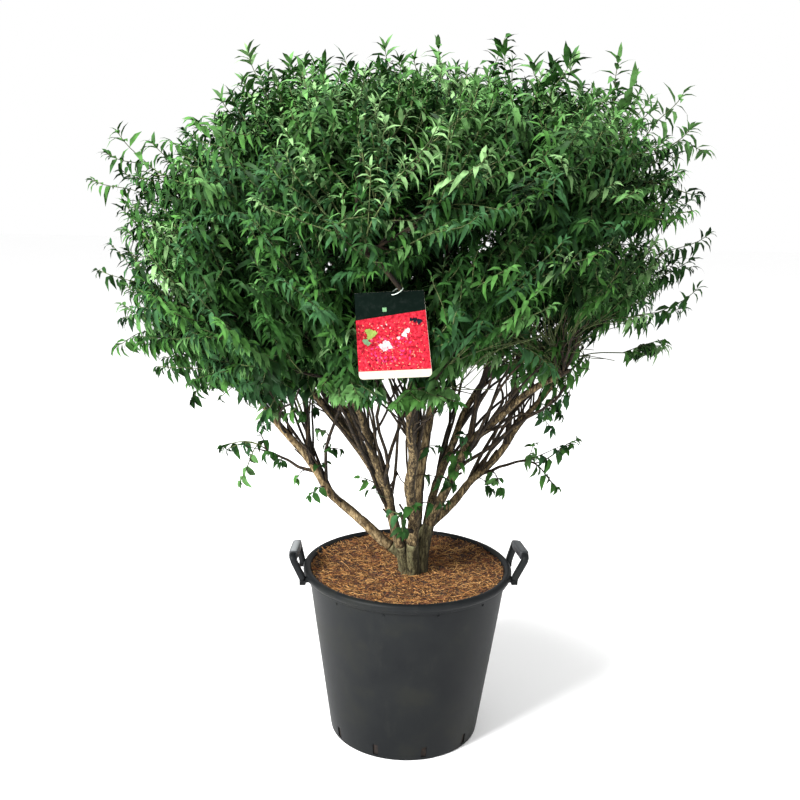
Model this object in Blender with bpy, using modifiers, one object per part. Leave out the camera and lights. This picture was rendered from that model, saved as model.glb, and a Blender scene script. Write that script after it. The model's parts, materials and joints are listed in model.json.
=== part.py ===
"""Potted dwarf burning bush: a many-stemmed shrub in a round nursery pot with two handles.

Metres, +Z up. The origin is the centre of the pot's flat underside, +X is the right of the
front view and -Y is its front. The stems rise from one short trunk, each bough is one
tapering limb, and each mass of leaves grows on from a bough's tip within its own space.
"""

import math
import random
from dataclasses import dataclass

import bmesh
import bpy
import numpy as np
from mathutils import Matrix, Vector

# Clearance between pieces that touch
GAP = 0.0003

# Pot: a round container of about 50 litres
RIM_RADIUS = 0.255
RIM_TOP = 0.425
RIM_LIP = 0.024
RIM_ROUND = 0.005
RIM_INNER_RADIUS = 0.2365
RIM_DRAFT = 0.001
RIM_UNDERCUT = 0.003
WALL_TOP_RADIUS = 0.2400
BASE_RADIUS = 0.183
BASE_ROUND = 0.004
WALL = 0.0035
FLOOR = 0.005
TURNED_STEPS = 36

# Drain slots round the foot of the pot wall
SLOT_COUNT = 10
SLOT_FIRST_AZIMUTH = 213.0
SLOT_WIDTH = 0.013
SLOT_DEPTH = 0.035
SLOT_BOTTOM = 0.008
SLOT_TOP = 0.036

# Handles: a leg at each end of a thick grip, leaning out from the rim
HANDLE_AZIMUTH = {"handle_right": 1.0, "handle_left": 186.0}
HANDLE_FOOT_SPREAD = 12.8
HANDLE_LEG_RADIUS = 0.0078
HANDLE_FOOT_Z = 0.403
HANDLE_BEND_Z = 0.414
HANDLE_TOP_Z = 0.4680
HANDLE_TOP_OUT = 0.281
HANDLE_TOP_HALF = 0.052
HANDLE_TOP_DRAFT = 0.001
HANDLE_CORNER = 0.005
GRIP_RADIUS = 0.0105
GRIP_HALF = 0.038
GRIP_STEP = 0.0005

# Growing medium: coir fibre, flat round the trunk and a little higher along the wall
MEDIUM_TOP = 0.405
MEDIUM_EDGE_RISE = 0.008
MEDIUM_FLAT_RADIUS = 0.075
MEDIUM_SLOPE_SHARE = 0.8

# Trunk: stems fused round a core, from the flat cut on the medium to the stubs they end in
TRUNK_X = 0.014
TRUNK_RING = 0.020
CENTRE_STEM = "bough_centre"
TRUNK_CORE_RADIUS = 0.026
TRUNK_CORE_TOP = 0.500
TRUNK_CORE_TAPER = 0.8
TRUNK_FLARE = 1.25
TRUNK_FLARE_HEIGHT = 0.03
TRUNK_SINK = 0.012
STUB_STRAIGHT = 0.004
CUT_HEIGHT = 0.1

# Limbs
BEZIER_REACH = 0.36
LIMB_STEP = 0.080
LIMB_POINTS = 41
LIMB_TAPER = 0.8
LIMB_WOBBLE = 0.006
WOBBLE_WAVES = (1.6, 2.8)
WOBBLE_FULL_SPAN = 0.5

# Crown outline: its reach from CROWN_CENTRE at each elevation, for the left and right sides
CROWN_CENTRE = (-0.03, 0.0, 1.20)
CROWN_ELEVATION = (-90, -60, -45, -30, -12, 5, 20, 35, 50, 65, 90)
CROWN_LEFT = (0.30, 0.42, 0.58, 0.68, 0.69, 0.68, 0.64, 0.56, 0.53, 0.45, 0.42)
CROWN_RIGHT = (0.30, 0.39, 0.48, 0.55, 0.63, 0.69, 0.71, 0.66, 0.53, 0.48, 0.42)
CROWN_DEPTH = 0.93
CROWN_FRONT_LIFT = 0.15
CROWN_LIFT_FROM = -15.0
CROWN_LIFT_FULL = -45.0

# Furthest tips of the crown, where single shoots stand out of it
FAR_TIPS = (
    (-0.376, -0.02, 1.603),
    (-0.288, 0.08, 1.580),
    (-0.079, 0.00, 1.621),
    (0.183, 0.00, 1.652),
    (0.438, 0.02, 1.611),
    (0.582, 0.00, 1.543),
    (-0.734, 0.00, 1.326),
    (-0.731, 0.00, 1.124),
    (0.646, 0.00, 1.424),
    (0.669, 0.00, 1.239),
    (-0.694, 0.00, 0.948),
    (-0.521, 0.00, 0.822),
    (0.588, 0.00, 0.981),
    (0.390, 0.00, 0.893),
)

# Leaves stand for sprays, so they are larger than life
LEAF_LENGTH = 0.178
LEAF_WIDTH = 0.074
LEAF_THICK = 0.005
LEAF_WIDEST = 0.42
LEAF_SINK = 0.006
LEAF_DROOP = 0.30
LEAF_SPREAD = 58.0
LEAF_TRIES = 8
LEAF_APART = 0.022
LEAF_END_SHARE = 0.9
PAIR_BACK = 0.02
PAIR_TURN = 0.35
SIDE_SCATTER = 0.5
WAY_SCATTER = 0.7
LEVEL_LEAST = 0.1
SIDE_ALIGNED = 0.85
EDGE_POINTS = 36

# Twigs: a collar meets the bough, and every twig is rooted a little way back in another
TWIG_ROOT_RADIUS = 0.0052
TWIG_TIP_RADIUS = 0.0028
TWIG_SINK = 0.004
TWIG_LIFT = 0.25
TWIG_SHORTEST = 0.04
TWIG_NEAREST = 0.02
TWIG_LONG = 0.18
TWIG_STARTS_TRIED = 6
COLLAR_LENGTH = 0.022
COLLAR_SINK = 0.006
COLLAR_TAPER = (1.0, 0.9, 0.7)
PATH_COST = 0.4
SHELL_TARGETS = 66
CORE_TARGETS = 16
BALL_TARGETS = 3
SHELL_REACH = 0.98
CORE_REACH = 0.60
BALL_REACH = 0.92
OUTLINE_LUMPS = 0.05
OUTLINE_OVER = 0.02
OUTLINE_LIMIT = 1.12
LOWEST_TARGET = -0.80
CELL_MARGIN = 0.003
LIMB_MARGIN = 0.004
LIMB_SAMPLE = 0.006
ROOT_FREE = 0.03
TWIG_SAMPLES = 8
FAR_AWAY = 9.0

# Picture tag, hung on a loop from a bough in front
TAG_WIDTH = 0.135
TAG_HEIGHT = 0.160
TAG_THICK = 0.0010
TAG_CORNER = 0.008
TAG_HOLE_RADIUS = 0.0045
TAG_HOLE_DROP = 0.009
TAG_TILT = 6.5
TAG_BOUGH = "bough_front_upper"
TAG_BACK = 0.095
LOOP_TURN = 0.35
TAG_VIEW = 0.20
TAG_VIEW_RISE = 0.22
TAG_KEEP_BEHIND = 0.004
TAG_KEEP_ABOVE = 0.01
TAG_GRID = (10, 12, 14)
TAG_CLEAR = 0.009
LOOP_RADIUS = 0.012
LOOP_WIRE = 0.0009
LOOP_STEPS = 18

# Colours: base colour, roughness
COLOURS = {
    "pot": ((0.035, 0.039, 0.040), 0.55),
    "medium": ((0.23, 0.11, 0.045), 0.95),
    "bark": ((0.20, 0.145, 0.085), 0.90),
    "leaf": ((0.045, 0.15, 0.035), 0.50),
    "tag": ((0.55, 0.04, 0.05), 0.45),
    "loop": ((0.60, 0.66, 0.58), 0.50),
}


@dataclass
class Limb:
    """A tapering limb: where it starts, where its tip is, and how it leans at both ends.

    twist turns the heading at the tip away from the limb's own azimuth, and rise is how far
    above the medium a stem starts; one that starts inside the trunk starts at its axis.
    """

    name: str
    parent: str
    start_at: float
    azimuth: float
    reach: float
    height: float
    lean_start: float
    lean_end: float
    thick_start: float
    thick_end: float
    twist: float = 0.0
    rise: float = -TRUNK_SINK


# Main stems: start_at is the length of the stem that belongs to the trunk
STEMS = (
    Limb("bough_left_low", "", 0.072, 187, 0.385, 0.858, 56, 37, 0.028, 0.0135, 0.0, 0.024),
    Limb("bough_left_front", "", 0.118, 211, 0.335, 0.930, 10, 50, 0.026, 0.0125),
    Limb("bough_front_left", "", 0.112, 243, 0.330, 0.930, 26, 36, 0.028, 0.0130),
    Limb("bough_front", "", 0.118, 266, 0.335, 0.920, 22, 40, 0.034, 0.0140),
    Limb("bough_right_front", "", 0.145, 326, 0.365, 0.945, 5, 60, 0.028, 0.0130),
    Limb("bough_right_low", "", 0.072, 5, 0.335, 0.890, 48, 38, 0.025, 0.0120, 0.0, 0.085),
    Limb("bough_right_back", "", 0.122, 46, 0.370, 0.945, 8, 60, 0.026, 0.0125),
    Limb("bough_back", "", 0.118, 90, 0.350, 0.920, 18, 40, 0.027, 0.0125),
    Limb("bough_left_back", "", 0.118, 148, 0.350, 0.925, 12, 46, 0.026, 0.0120),
    Limb("bough_centre", "", 0.150, 30, 0.080, 1.285, 3, 6, 0.028, 0.0105),
)

# Side boughs: start_at is the share of the parent's whole length at which they leave it
SIDE_BOUGHS = (
    Limb("bough_left_upper", "bough_left_low", 0.62, 183, 0.345, 1.265, 8, 22, 0.0150, 0.0090),
    Limb("bough_left_front_upper", "bough_left_front", 0.60, 222, 0.290, 1.265, 2, 18, 0.0145, 0.0090),
    Limb("bough_front_upper", "bough_front", 0.62, 258, 0.525, 1.215, 14, 52, 0.0145, 0.0085, -80),
    Limb("bough_right_front_upper", "bough_right_front", 0.58, 325, 0.290, 1.265, 6, 20, 0.0145, 0.0090),
    Limb("bough_right_upper", "bough_right_low", 0.62, 12, 0.330, 1.265, 4, 20, 0.0140, 0.0090),
    Limb("bough_back_upper", "bough_back", 0.58, 80, 0.290, 1.265, 4, 20, 0.0145, 0.0090),
    Limb("bough_left_back_upper", "bough_left_back", 0.58, 138, 0.290, 1.265, 4, 20, 0.0140, 0.0090),
    Limb("bough_inner", "bough_centre", 0.62, 250, 0.105, 1.040, 24, 14, 0.0120, 0.0085),
    Limb("bough_low_left_spray", "bough_left_low", 0.58, 181, 0.350, 0.700, 88, 74, 0.0080, 0.0060),
    Limb("bough_low_right_spray", "bough_right_low", 0.42, 1, 0.262, 0.692, 76, 84, 0.0075, 0.0060),
    Limb("bough_sucker", "bough_front", 0.26, 259, 0.152, 0.580, 78, 20, 0.0110, 0.0085),
)


@dataclass
class Mass:
    """A mass of leaves: the limb that carries it and the middle of its own space.

    A radius makes that space a ball apart from the crown, and leaf is the size of its leaves.
    """

    name: str
    limb: str
    azimuth: float
    reach: float
    height: float
    radius: float = 0.0
    leaf: float = 1.0


# Masses of foliage
MASSES = (
    Mass("foliage_left", "bough_left_low", 187, 0.46, 1.08),
    Mass("foliage_left_front", "bough_left_front", 214, 0.46, 1.08),
    Mass("foliage_front_left", "bough_front_left", 244, 0.45, 1.07),
    Mass("foliage_front", "bough_front", 283, 0.46, 1.07),
    Mass("foliage_right_front", "bough_right_front", 324, 0.46, 1.08),
    Mass("foliage_right", "bough_right_low", 5, 0.46, 1.08),
    Mass("foliage_right_back", "bough_right_back", 48, 0.46, 1.08),
    Mass("foliage_back", "bough_back", 97, 0.46, 1.08),
    Mass("foliage_left_back", "bough_left_back", 146, 0.46, 1.08),
    Mass("foliage_left_upper", "bough_left_upper", 183, 0.38, 1.37),
    Mass("foliage_left_front_upper", "bough_left_front_upper", 222, 0.36, 1.38),
    Mass("foliage_front_upper", "bough_front_upper", 262, 0.42, 1.35),
    Mass("foliage_right_front_upper", "bough_right_front_upper", 322, 0.38, 1.38),
    Mass("foliage_right_upper", "bough_right_upper", 12, 0.40, 1.38),
    Mass("foliage_back_upper", "bough_back_upper", 75, 0.38, 1.38),
    Mass("foliage_left_back_upper", "bough_left_back_upper", 132, 0.38, 1.38),
    Mass("foliage_top", "bough_centre", 130, 0.04, 1.42),
    Mass("foliage_inner", "bough_inner", 250, 0.13, 1.12),
    Mass("foliage_low_left", "bough_low_left_spray", 181, 0.415, 0.700, 0.085, 0.50),
    Mass("foliage_low_right", "bough_low_right_spray", 1, 0.325, 0.695, 0.080, 0.48),
    Mass("foliage_sucker", "bough_sucker", 259, 0.166, 0.605, 0.046, 0.30),
)


def heading(azimuth, lean):
    """Unit vector that leans from the vertical by lean, towards azimuth, both in degrees."""
    around, down = math.radians(azimuth), math.radians(lean)
    return np.array([math.cos(around) * math.sin(down), math.sin(around) * math.sin(down), math.cos(down)])


def unit(vector):
    return vector / np.linalg.norm(vector)


def from_trunk(azimuth, reach, height):
    """Point at a horizontal distance from the trunk's axis."""
    around = math.radians(azimuth)
    return np.array([TRUNK_X + reach * math.cos(around), reach * math.sin(around), height])


def clear_scene():
    for item in list(bpy.data.objects):
        bpy.data.objects.remove(item)


def new_collection(name):
    collection = bpy.data.collections.new(name)
    bpy.context.scene.collection.children.link(collection)
    return collection


def make_material(name):
    colour, roughness = COLOURS[name]
    material = bpy.data.materials.new(name)
    material.use_nodes = True
    shader = material.node_tree.nodes["Principled BSDF"]
    shader.inputs["Base Color"].default_value = (*colour, 1.0)
    shader.inputs["Roughness"].default_value = roughness
    return material


def add_object(name, mesh, collection, material=None):
    item = bpy.data.objects.new(name, mesh)
    collection.objects.link(item)
    if material is not None:
        mesh.materials.clear()
        mesh.materials.append(material)
    return item


def as_cutter(item):
    item.hide_render = True
    item.display_type = "WIRE"
    return item


def boolean(item, cutter, operation="DIFFERENCE", solver="EXACT"):
    modifier = item.modifiers.new(operation.lower(), "BOOLEAN")
    modifier.operation = operation
    modifier.solver = solver
    modifier.object = cutter
    return modifier


def take(item, collection):
    """Move an object to another collection."""
    for old in list(item.users_collection):
        old.objects.unlink(item)
    collection.objects.link(item)


def box(name, size, location, turn, collection):
    """A box turned about the vertical, as a cutter."""
    bpy.ops.mesh.primitive_cube_add(size=1.0, location=location, rotation=(0.0, 0.0, turn))
    item = bpy.context.object
    item.name = name
    item.scale = size
    take(item, collection)
    return as_cutter(item)


def evaluated_mesh(item):
    """A new mesh of the object as it stands, with its loose caps welded."""
    bpy.context.view_layer.update()
    graph = bpy.context.evaluated_depsgraph_get()
    mesh = bpy.data.meshes.new_from_object(item.evaluated_get(graph))
    work = bmesh.new()
    work.from_mesh(mesh)
    bmesh.ops.remove_doubles(work, verts=work.verts, dist=1e-6)
    work.to_mesh(mesh)
    work.free()
    return mesh


def face_outward(mesh):
    """Turn every face of a closed mesh to the outside."""
    work = bmesh.new()
    work.from_mesh(mesh)
    bmesh.ops.recalc_face_normals(work, faces=work.faces)
    work.to_mesh(mesh)
    work.free()


def curve_data(name, points, radii, resolution, section=None):
    """A POLY curve with a round section, or with the given curve object as its section."""
    curve = bpy.data.curves.new(name, "CURVE")
    curve.dimensions = "3D"
    curve.use_fill_caps = True
    if section is None:
        curve.bevel_depth = 1.0
        curve.bevel_resolution = resolution
    else:
        curve.bevel_mode = "OBJECT"
        curve.bevel_object = section
    spline = curve.splines.new("POLY")
    spline.points.add(len(points) - 1)
    for point, place, radius in zip(spline.points, points, radii):
        point.co = (*place, 1.0)
        point.radius = radius
    return curve


def tube(name, points, radii, collection, resolution=1, section=None):
    """A closed tapering tube along the points, as a mesh object."""
    curve = curve_data(name + "_path", points, radii, resolution, section)
    guide = bpy.data.objects.new(name + "_path", curve)
    collection.objects.link(guide)
    mesh = evaluated_mesh(guide)
    bpy.data.objects.remove(guide)
    bpy.data.curves.remove(curve)
    face_outward(mesh)
    return add_object(name, mesh, collection)


def largest_shell(mesh):
    """Keep the largest connected part of a mesh: loose scraps and sealed hollows go."""
    work = bmesh.new()
    work.from_mesh(mesh)
    left = set(work.faces)
    shells = []
    while left:
        seed = left.pop()
        shell = {seed}
        queue = [seed]
        while queue:
            face = queue.pop()
            for edge in face.edges:
                if len(edge.link_faces) != 2:
                    continue
                for other in edge.link_faces:
                    if other not in shell:
                        shell.add(other)
                        queue.append(other)
        left -= shell
        shells.append(shell)
    shells.sort(key=len)
    for shell in shells[:-1]:
        bmesh.ops.delete(work, geom=list(shell), context="FACES")
    bmesh.ops.triangulate(work, faces=work.faces)
    work.to_mesh(mesh)
    work.free()


def fuse(name, pieces, collection, material, solver="EXACT"):
    """One solid from many overlapping pieces, by one union on their collection."""
    base, others = pieces[0], pieces[1:]
    group = new_collection(name + "_parts")
    for item in others:
        take(item, group)
    modifier = base.modifiers.new("fuse", "BOOLEAN")
    modifier.operation = "UNION"
    modifier.solver = solver
    modifier.operand_type = "COLLECTION"
    modifier.collection = group
    mesh = evaluated_mesh(base)
    for item in pieces:
        bpy.data.objects.remove(item)
    bpy.data.collections.remove(group)
    largest_shell(mesh)
    return add_object(name, mesh, collection, material)


def turned(name, profile, collection, material):
    """A solid of revolution from a profile of (radius, height) points."""
    mesh = bpy.data.meshes.new(name)
    points = [(radius, 0.0, height) for radius, height in profile]
    edges = [(index, index + 1) for index in range(len(points) - 1)]
    mesh.from_pydata(points, edges, [])
    item = add_object(name, mesh, collection, material)
    screw = item.modifiers.new("turn", "SCREW")
    screw.steps = TURNED_STEPS
    screw.render_steps = TURNED_STEPS
    screw.use_merge_vertices = True
    screw.merge_threshold = 0.0001
    return item


def wall_radius(height):
    """Outer radius of the pot wall at a height."""
    share = height / (RIM_TOP - RIM_LIP)
    return BASE_RADIUS + (WALL_TOP_RADIUS - BASE_RADIUS) * share


def make_pot(parts, cutters, material):
    lip = RIM_TOP - RIM_LIP
    profile = [
        (0.0, FLOOR),
        (wall_radius(FLOOR) - WALL, FLOOR),
        (wall_radius(lip) - WALL, lip),
        (RIM_INNER_RADIUS + RIM_DRAFT, RIM_TOP - RIM_ROUND),
        (RIM_INNER_RADIUS + RIM_ROUND, RIM_TOP),
        (RIM_RADIUS - RIM_ROUND, RIM_TOP),
        (RIM_RADIUS, RIM_TOP - RIM_ROUND),
        (RIM_RADIUS, lip + BASE_ROUND),
        (RIM_RADIUS - RIM_UNDERCUT, lip),
        (wall_radius(lip), lip - BASE_ROUND),
        (wall_radius(BASE_ROUND), BASE_ROUND),
        (BASE_RADIUS - BASE_ROUND, 0.0),
        (0.0, 0.0),
    ]
    pot = turned("pot", profile, parts, material)
    for index in range(SLOT_COUNT):
        azimuth = math.radians(SLOT_FIRST_AZIMUTH + index * 360.0 / SLOT_COUNT)
        middle = (SLOT_BOTTOM + SLOT_TOP) / 2
        radius = wall_radius(middle) + WALL
        size = (SLOT_DEPTH, SLOT_WIDTH, SLOT_TOP - SLOT_BOTTOM)
        place = (radius * math.cos(azimuth), radius * math.sin(azimuth), middle)
        boolean(pot, box("cut_slot_%02d" % index, size, place, azimuth, cutters))
    return pot


def make_handle(name, azimuth, parts, material):
    """Leg, grip and leg as one tube whose radius steps up along the grip."""
    flat_radius = RIM_RADIUS * math.cos(math.pi / TURNED_STEPS)
    foot_radius = flat_radius + 2 * GAP + HANDLE_LEG_RADIUS
    spread = math.radians(HANDLE_FOOT_SPREAD)
    foot_out, foot_half = foot_radius * math.cos(spread), foot_radius * math.sin(spread)
    half = [
        (foot_out, foot_half, HANDLE_FOOT_Z, HANDLE_LEG_RADIUS),
        (foot_out, foot_half, HANDLE_BEND_Z, HANDLE_LEG_RADIUS),
        (HANDLE_TOP_OUT - HANDLE_TOP_DRAFT, HANDLE_TOP_HALF, HANDLE_TOP_Z - HANDLE_CORNER, HANDLE_LEG_RADIUS),
        (HANDLE_TOP_OUT, HANDLE_TOP_HALF - HANDLE_CORNER, HANDLE_TOP_Z, HANDLE_LEG_RADIUS),
        (HANDLE_TOP_OUT, GRIP_HALF + GRIP_STEP, HANDLE_TOP_Z, HANDLE_LEG_RADIUS),
        (HANDLE_TOP_OUT, GRIP_HALF, HANDLE_TOP_Z, GRIP_RADIUS),
    ]
    whole = half + [(out, -side, height, radius) for out, side, height, radius in reversed(half)]
    turn = Matrix.Rotation(math.radians(azimuth), 3, "Z")
    points = [turn @ Vector((out, side, height)) for out, side, height, _ in whole]
    radii = [radius for _, _, _, radius in whole]
    item = tube(name, points, radii, parts, resolution=2)
    item.data.materials.append(material)
    return item


def make_medium(parts, material):
    slope = math.atan((WALL_TOP_RADIUS - BASE_RADIUS) / (RIM_TOP - RIM_LIP))
    inner = GAP + WALL / math.cos(slope)
    lip = RIM_TOP - RIM_LIP
    edge = MEDIUM_TOP + MEDIUM_EDGE_RISE
    floor = FLOOR + GAP
    profile = [
        (0.0, MEDIUM_TOP),
        (MEDIUM_FLAT_RADIUS, MEDIUM_TOP),
        (MEDIUM_SLOPE_SHARE * RIM_INNER_RADIUS, MEDIUM_TOP + MEDIUM_EDGE_RISE / 2),
        (RIM_INNER_RADIUS - 2 * GAP, edge),
        (wall_radius(lip) - inner, lip),
        (wall_radius(floor) - inner, floor),
        (0.0, floor),
    ]
    return turned("growing_medium", profile, parts, material)


def bezier(start, first, last, end, count):
    """Points along a curve that leaves start along first and arrives at end along last."""
    span = np.linalg.norm(end - start) * BEZIER_REACH
    handle_a = start + first * span
    handle_b = end - last * span
    share = np.linspace(0.0, 1.0, count)[:, None]
    rest = 1.0 - share
    return rest**3 * start + 3 * rest**2 * share * handle_a + 3 * rest * share**2 * handle_b + share**3 * end


def lengths(points):
    """Running length along a path."""
    steps = np.linalg.norm(np.diff(points, axis=0), axis=1)
    return np.concatenate([[0.0], np.cumsum(steps)])


def along(points, distance):
    """Point and direction at a distance along a path."""
    run = lengths(points)
    index = int(np.clip(np.searchsorted(run, distance) - 1, 0, len(points) - 2))
    share = (distance - run[index]) / (run[index + 1] - run[index])
    place = points[index] + (points[index + 1] - points[index]) * share
    return place, unit(points[index + 1] - points[index])


def limb_line(limb, start, first):
    """The limb's fine centre line, with slight seeded bends that die out at both ends."""
    tip = from_trunk(limb.azimuth, limb.reach, limb.height)
    last = heading(limb.azimuth + limb.twist, limb.lean_end)
    line = bezier(start, first, last, tip, LIMB_POINTS)
    rng = random.Random(limb.name)
    share = np.linspace(0.0, 1.0, LIMB_POINTS)
    fade = np.sin(np.pi * share) ** 2
    size = LIMB_WOBBLE * min(1.0, np.linalg.norm(tip - start) / WOBBLE_FULL_SPAN)
    for axis in range(3):
        waves = rng.uniform(*WOBBLE_WAVES)
        phase = rng.uniform(0.0, 2 * math.pi)
        line[:, axis] += size * fade * np.sin(2 * np.pi * waves * share + phase)
    return line


def limb_stretch(line, begin, end, radius_at):
    """Points and radii of a stretch of the line, straight for a little at both ends."""
    count = max(3, int(round((end - begin) / LIMB_STEP)) + 1)
    first, first_way = along(line, begin)
    last, last_way = along(line, end)
    inner = [along(line, distance)[0] for distance in np.linspace(begin, end, count)[1:-1]]
    points = [first, first + first_way * STUB_STRAIGHT, *inner, last - last_way * STUB_STRAIGHT, last]
    run = lengths(np.array(points))
    radii = [radius_at(begin + distance) for distance in run]
    return np.array(points), radii


def limb_radius(limb, total, flared=False):
    """Radius along a limb that thins evenly to its tip, and flares where it meets the medium."""

    def radius_at(distance):
        share = min(1.0, max(0.0, distance / total))
        thick = limb.thick_start + (limb.thick_end - limb.thick_start) * share**LIMB_TAPER
        flare = math.exp(-distance / TRUNK_FLARE_HEIGHT) if flared else 0.0
        return 0.5 * thick * (1.0 + (TRUNK_FLARE - 1.0) * flare)

    return radius_at


def plan_limbs():
    """Centre line, length and radius rule of every limb, by name."""
    plan = {}
    for limb in STEMS:
        within = limb.rise > 0 or limb.name == CENTRE_STEM
        foot = from_trunk(limb.azimuth, 0.0 if within else TRUNK_RING, MEDIUM_TOP + limb.rise)
        line = limb_line(limb, foot, heading(limb.azimuth, limb.lean_start))
        total = lengths(line)[-1]
        plan[limb.name] = (limb, line, total, limb_radius(limb, total, limb.rise < 0))
    for limb in SIDE_BOUGHS:
        _, parent_line, parent_total, _ = plan[limb.parent]
        start, _ = along(parent_line, limb.start_at * parent_total)
        line = limb_line(limb, start, heading(limb.azimuth, limb.lean_start))
        total = lengths(line)[-1]
        plan[limb.name] = (limb, line, total, limb_radius(limb, total))
    return plan


def make_trunk(plan, parts, cutters, material):
    """Stems fused round a core and cut flat where they stand on the medium."""
    core_foot = np.array([TRUNK_X, 0.0, MEDIUM_TOP - TRUNK_SINK])
    core_top = np.array([TRUNK_X, 0.0, TRUNK_CORE_TOP])
    core_points = [core_foot, (core_foot + core_top) / 2, core_top]
    core_radii = [TRUNK_CORE_RADIUS, TRUNK_CORE_RADIUS, TRUNK_CORE_RADIUS * TRUNK_CORE_TAPER]
    pieces = [tube("trunk_core", core_points, core_radii, parts, resolution=2)]
    for limb in STEMS:
        _, line, _, radius_at = plan[limb.name]
        points, radii = limb_stretch(line, 0.0, limb.start_at, radius_at)
        pieces.append(tube("trunk_" + limb.name, points, radii, parts))
    trunk = fuse("trunk", pieces, parts, material)
    below = (TRUNK_X, 0.0, MEDIUM_TOP + GAP - CUT_HEIGHT / 2)
    boolean(trunk, box("cut_ground", (RIM_RADIUS, RIM_RADIUS, CUT_HEIGHT), below, 0.0, cutters))
    return trunk


def make_boughs(plan, parts, cutters, material):
    """Every limb beyond the trunk; a side bough is cut to a saddle that fits its parent."""
    for limb, line, total, radius_at in plan.values():
        if not limb.parent:
            points, radii = limb_stretch(line, limb.start_at + GAP, total, radius_at)
            item = tube(limb.name, points, radii, parts)
            item.data.materials.append(material)
            continue
        points, radii = limb_stretch(line, 0.0, total, radius_at)
        item = tube(limb.name + "_whole", points, radii, parts)
        parent, parent_line, parent_total, parent_radius = plan[limb.parent]
        begin = parent.start_at + GAP
        parent_points, parent_radii = limb_stretch(parent_line, begin, parent_total, parent_radius)
        grown = [radius + GAP for radius in parent_radii]
        cutter = tube("cut_" + limb.name, parent_points, grown, cutters)
        boolean(item, as_cutter(cutter))
        mesh = evaluated_mesh(item)
        largest_shell(mesh)
        bpy.data.objects.remove(item)
        add_object(limb.name, mesh, parts, material)


def crown_reach(direction):
    """How far the crown's outline lies from its centre in a direction."""
    side, depth, up = direction
    flat = math.hypot(side, depth)
    elevation = math.degrees(math.atan2(up, flat))
    left = np.interp(elevation, CROWN_ELEVATION, CROWN_LEFT)
    right = np.interp(elevation, CROWN_ELEVATION, CROWN_RIGHT)
    sideways = side / flat if flat > 0 else 0.0
    reach = left + (right - left) * (0.5 + 0.5 * sideways)
    if depth < 0:
        low = np.interp(elevation, (CROWN_LIFT_FULL, CROWN_LIFT_FROM), (1.0, 0.0))
        reach *= 1.0 - CROWN_FRONT_LIFT * low * (1.0 - sideways**2)
    return reach * (1.0 - (1.0 - CROWN_DEPTH) * (1.0 - sideways**2) * math.cos(math.radians(elevation)))


class Space:
    """The spaces of the masses, and everything that twigs and leaves keep clear of."""

    def __init__(self, plan, tag_points):
        self.centres = np.array([from_trunk(mass.azimuth, mass.reach, mass.height) for mass in MASSES])
        places, sizes = [], []
        for limb, line, total, radius_at in plan.values():
            for distance in np.arange(0.0, total, LIMB_SAMPLE):
                places.append(along(line, distance)[0])
                sizes.append(radius_at(distance))
        places += tag_points
        sizes += [TAG_CLEAR] * len(tag_points)
        self.places = np.array(places)
        self.sizes = np.array(sizes)

    def owner(self, point):
        """The crown mass whose centre is nearest to a point."""
        far = np.array([FAR_AWAY if mass.radius else 0.0 for mass in MASSES])
        return int(np.argmin(np.linalg.norm(self.centres - point, axis=1) + far))

    def border(self, index, other_index):
        """Point where the border plane between two spaces crosses the line of their centres."""
        home, other = self.centres[index], self.centres[other_index]
        way = unit(other - home)
        radius, other_radius = MASSES[index].radius, MASSES[other_index].radius
        if radius and not other_radius:
            return home + way * radius
        if other_radius and not radius:
            return other - way * other_radius
        return (home + other) / 2

    def inside(self, index, points, margin):
        """True if all the points lie in the mass's own space."""
        points = np.atleast_2d(points)
        home = self.centres[index]
        for other_index, other in enumerate(self.centres):
            if other_index == index:
                continue
            way = unit(other - home)
            beyond = (points - self.border(index, other_index)) @ way
            if beyond.max() > -margin:
                return False
        radius = MASSES[index].radius
        if radius:
            return bool(np.linalg.norm(points - home, axis=1).max() < radius)
        for point in points:
            way = point - np.array(CROWN_CENTRE)
            span = np.linalg.norm(way)
            if span > crown_reach(way / span) * OUTLINE_LIMIT:
                return False
        return True

    def twig_clear(self, points, radius, free=None):
        """True if a twig keeps clear of every limb, apart from near the point free."""
        keep = np.ones(len(self.places), bool)
        if free is not None:
            keep = np.linalg.norm(self.places - free, axis=1) > ROOT_FREE
        fine = np.vstack([np.linspace(a, b, TWIG_SAMPLES) for a, b in zip(points[:-1], points[1:])])
        span = np.linalg.norm(fine[:, None] - self.places[None, keep], axis=2)
        return bool((span - self.sizes[keep]).min() > radius + LIMB_MARGIN)

    def leaf_clear(self, frame, size):
        """True if a leaf, given by its 4 by 4 frame and size, keeps clear of every limb."""
        local = (self.places - frame[:3, 3]) @ frame[:3, :3]
        reach = self.sizes + LIMB_MARGIN
        near = (local[:, 0] > -reach) & (local[:, 0] < size * LEAF_LENGTH + reach)
        near &= np.abs(local[:, 1]) < size * LEAF_WIDTH / 2 + reach
        near &= np.abs(local[:, 2]) < size * LEAF_THICK / 2 + reach
        return not bool(near.any())


def spread_directions(count):
    """Directions spread evenly over a sphere."""
    turn = math.pi * (3.0 - math.sqrt(5.0))
    directions = []
    for index in range(count):
        up = 1.0 - 2.0 * (index + 0.5) / count
        flat = math.sqrt(1.0 - up * up)
        directions.append(np.array([flat * math.cos(turn * index), flat * math.sin(turn * index), up]))
    return directions


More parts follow.
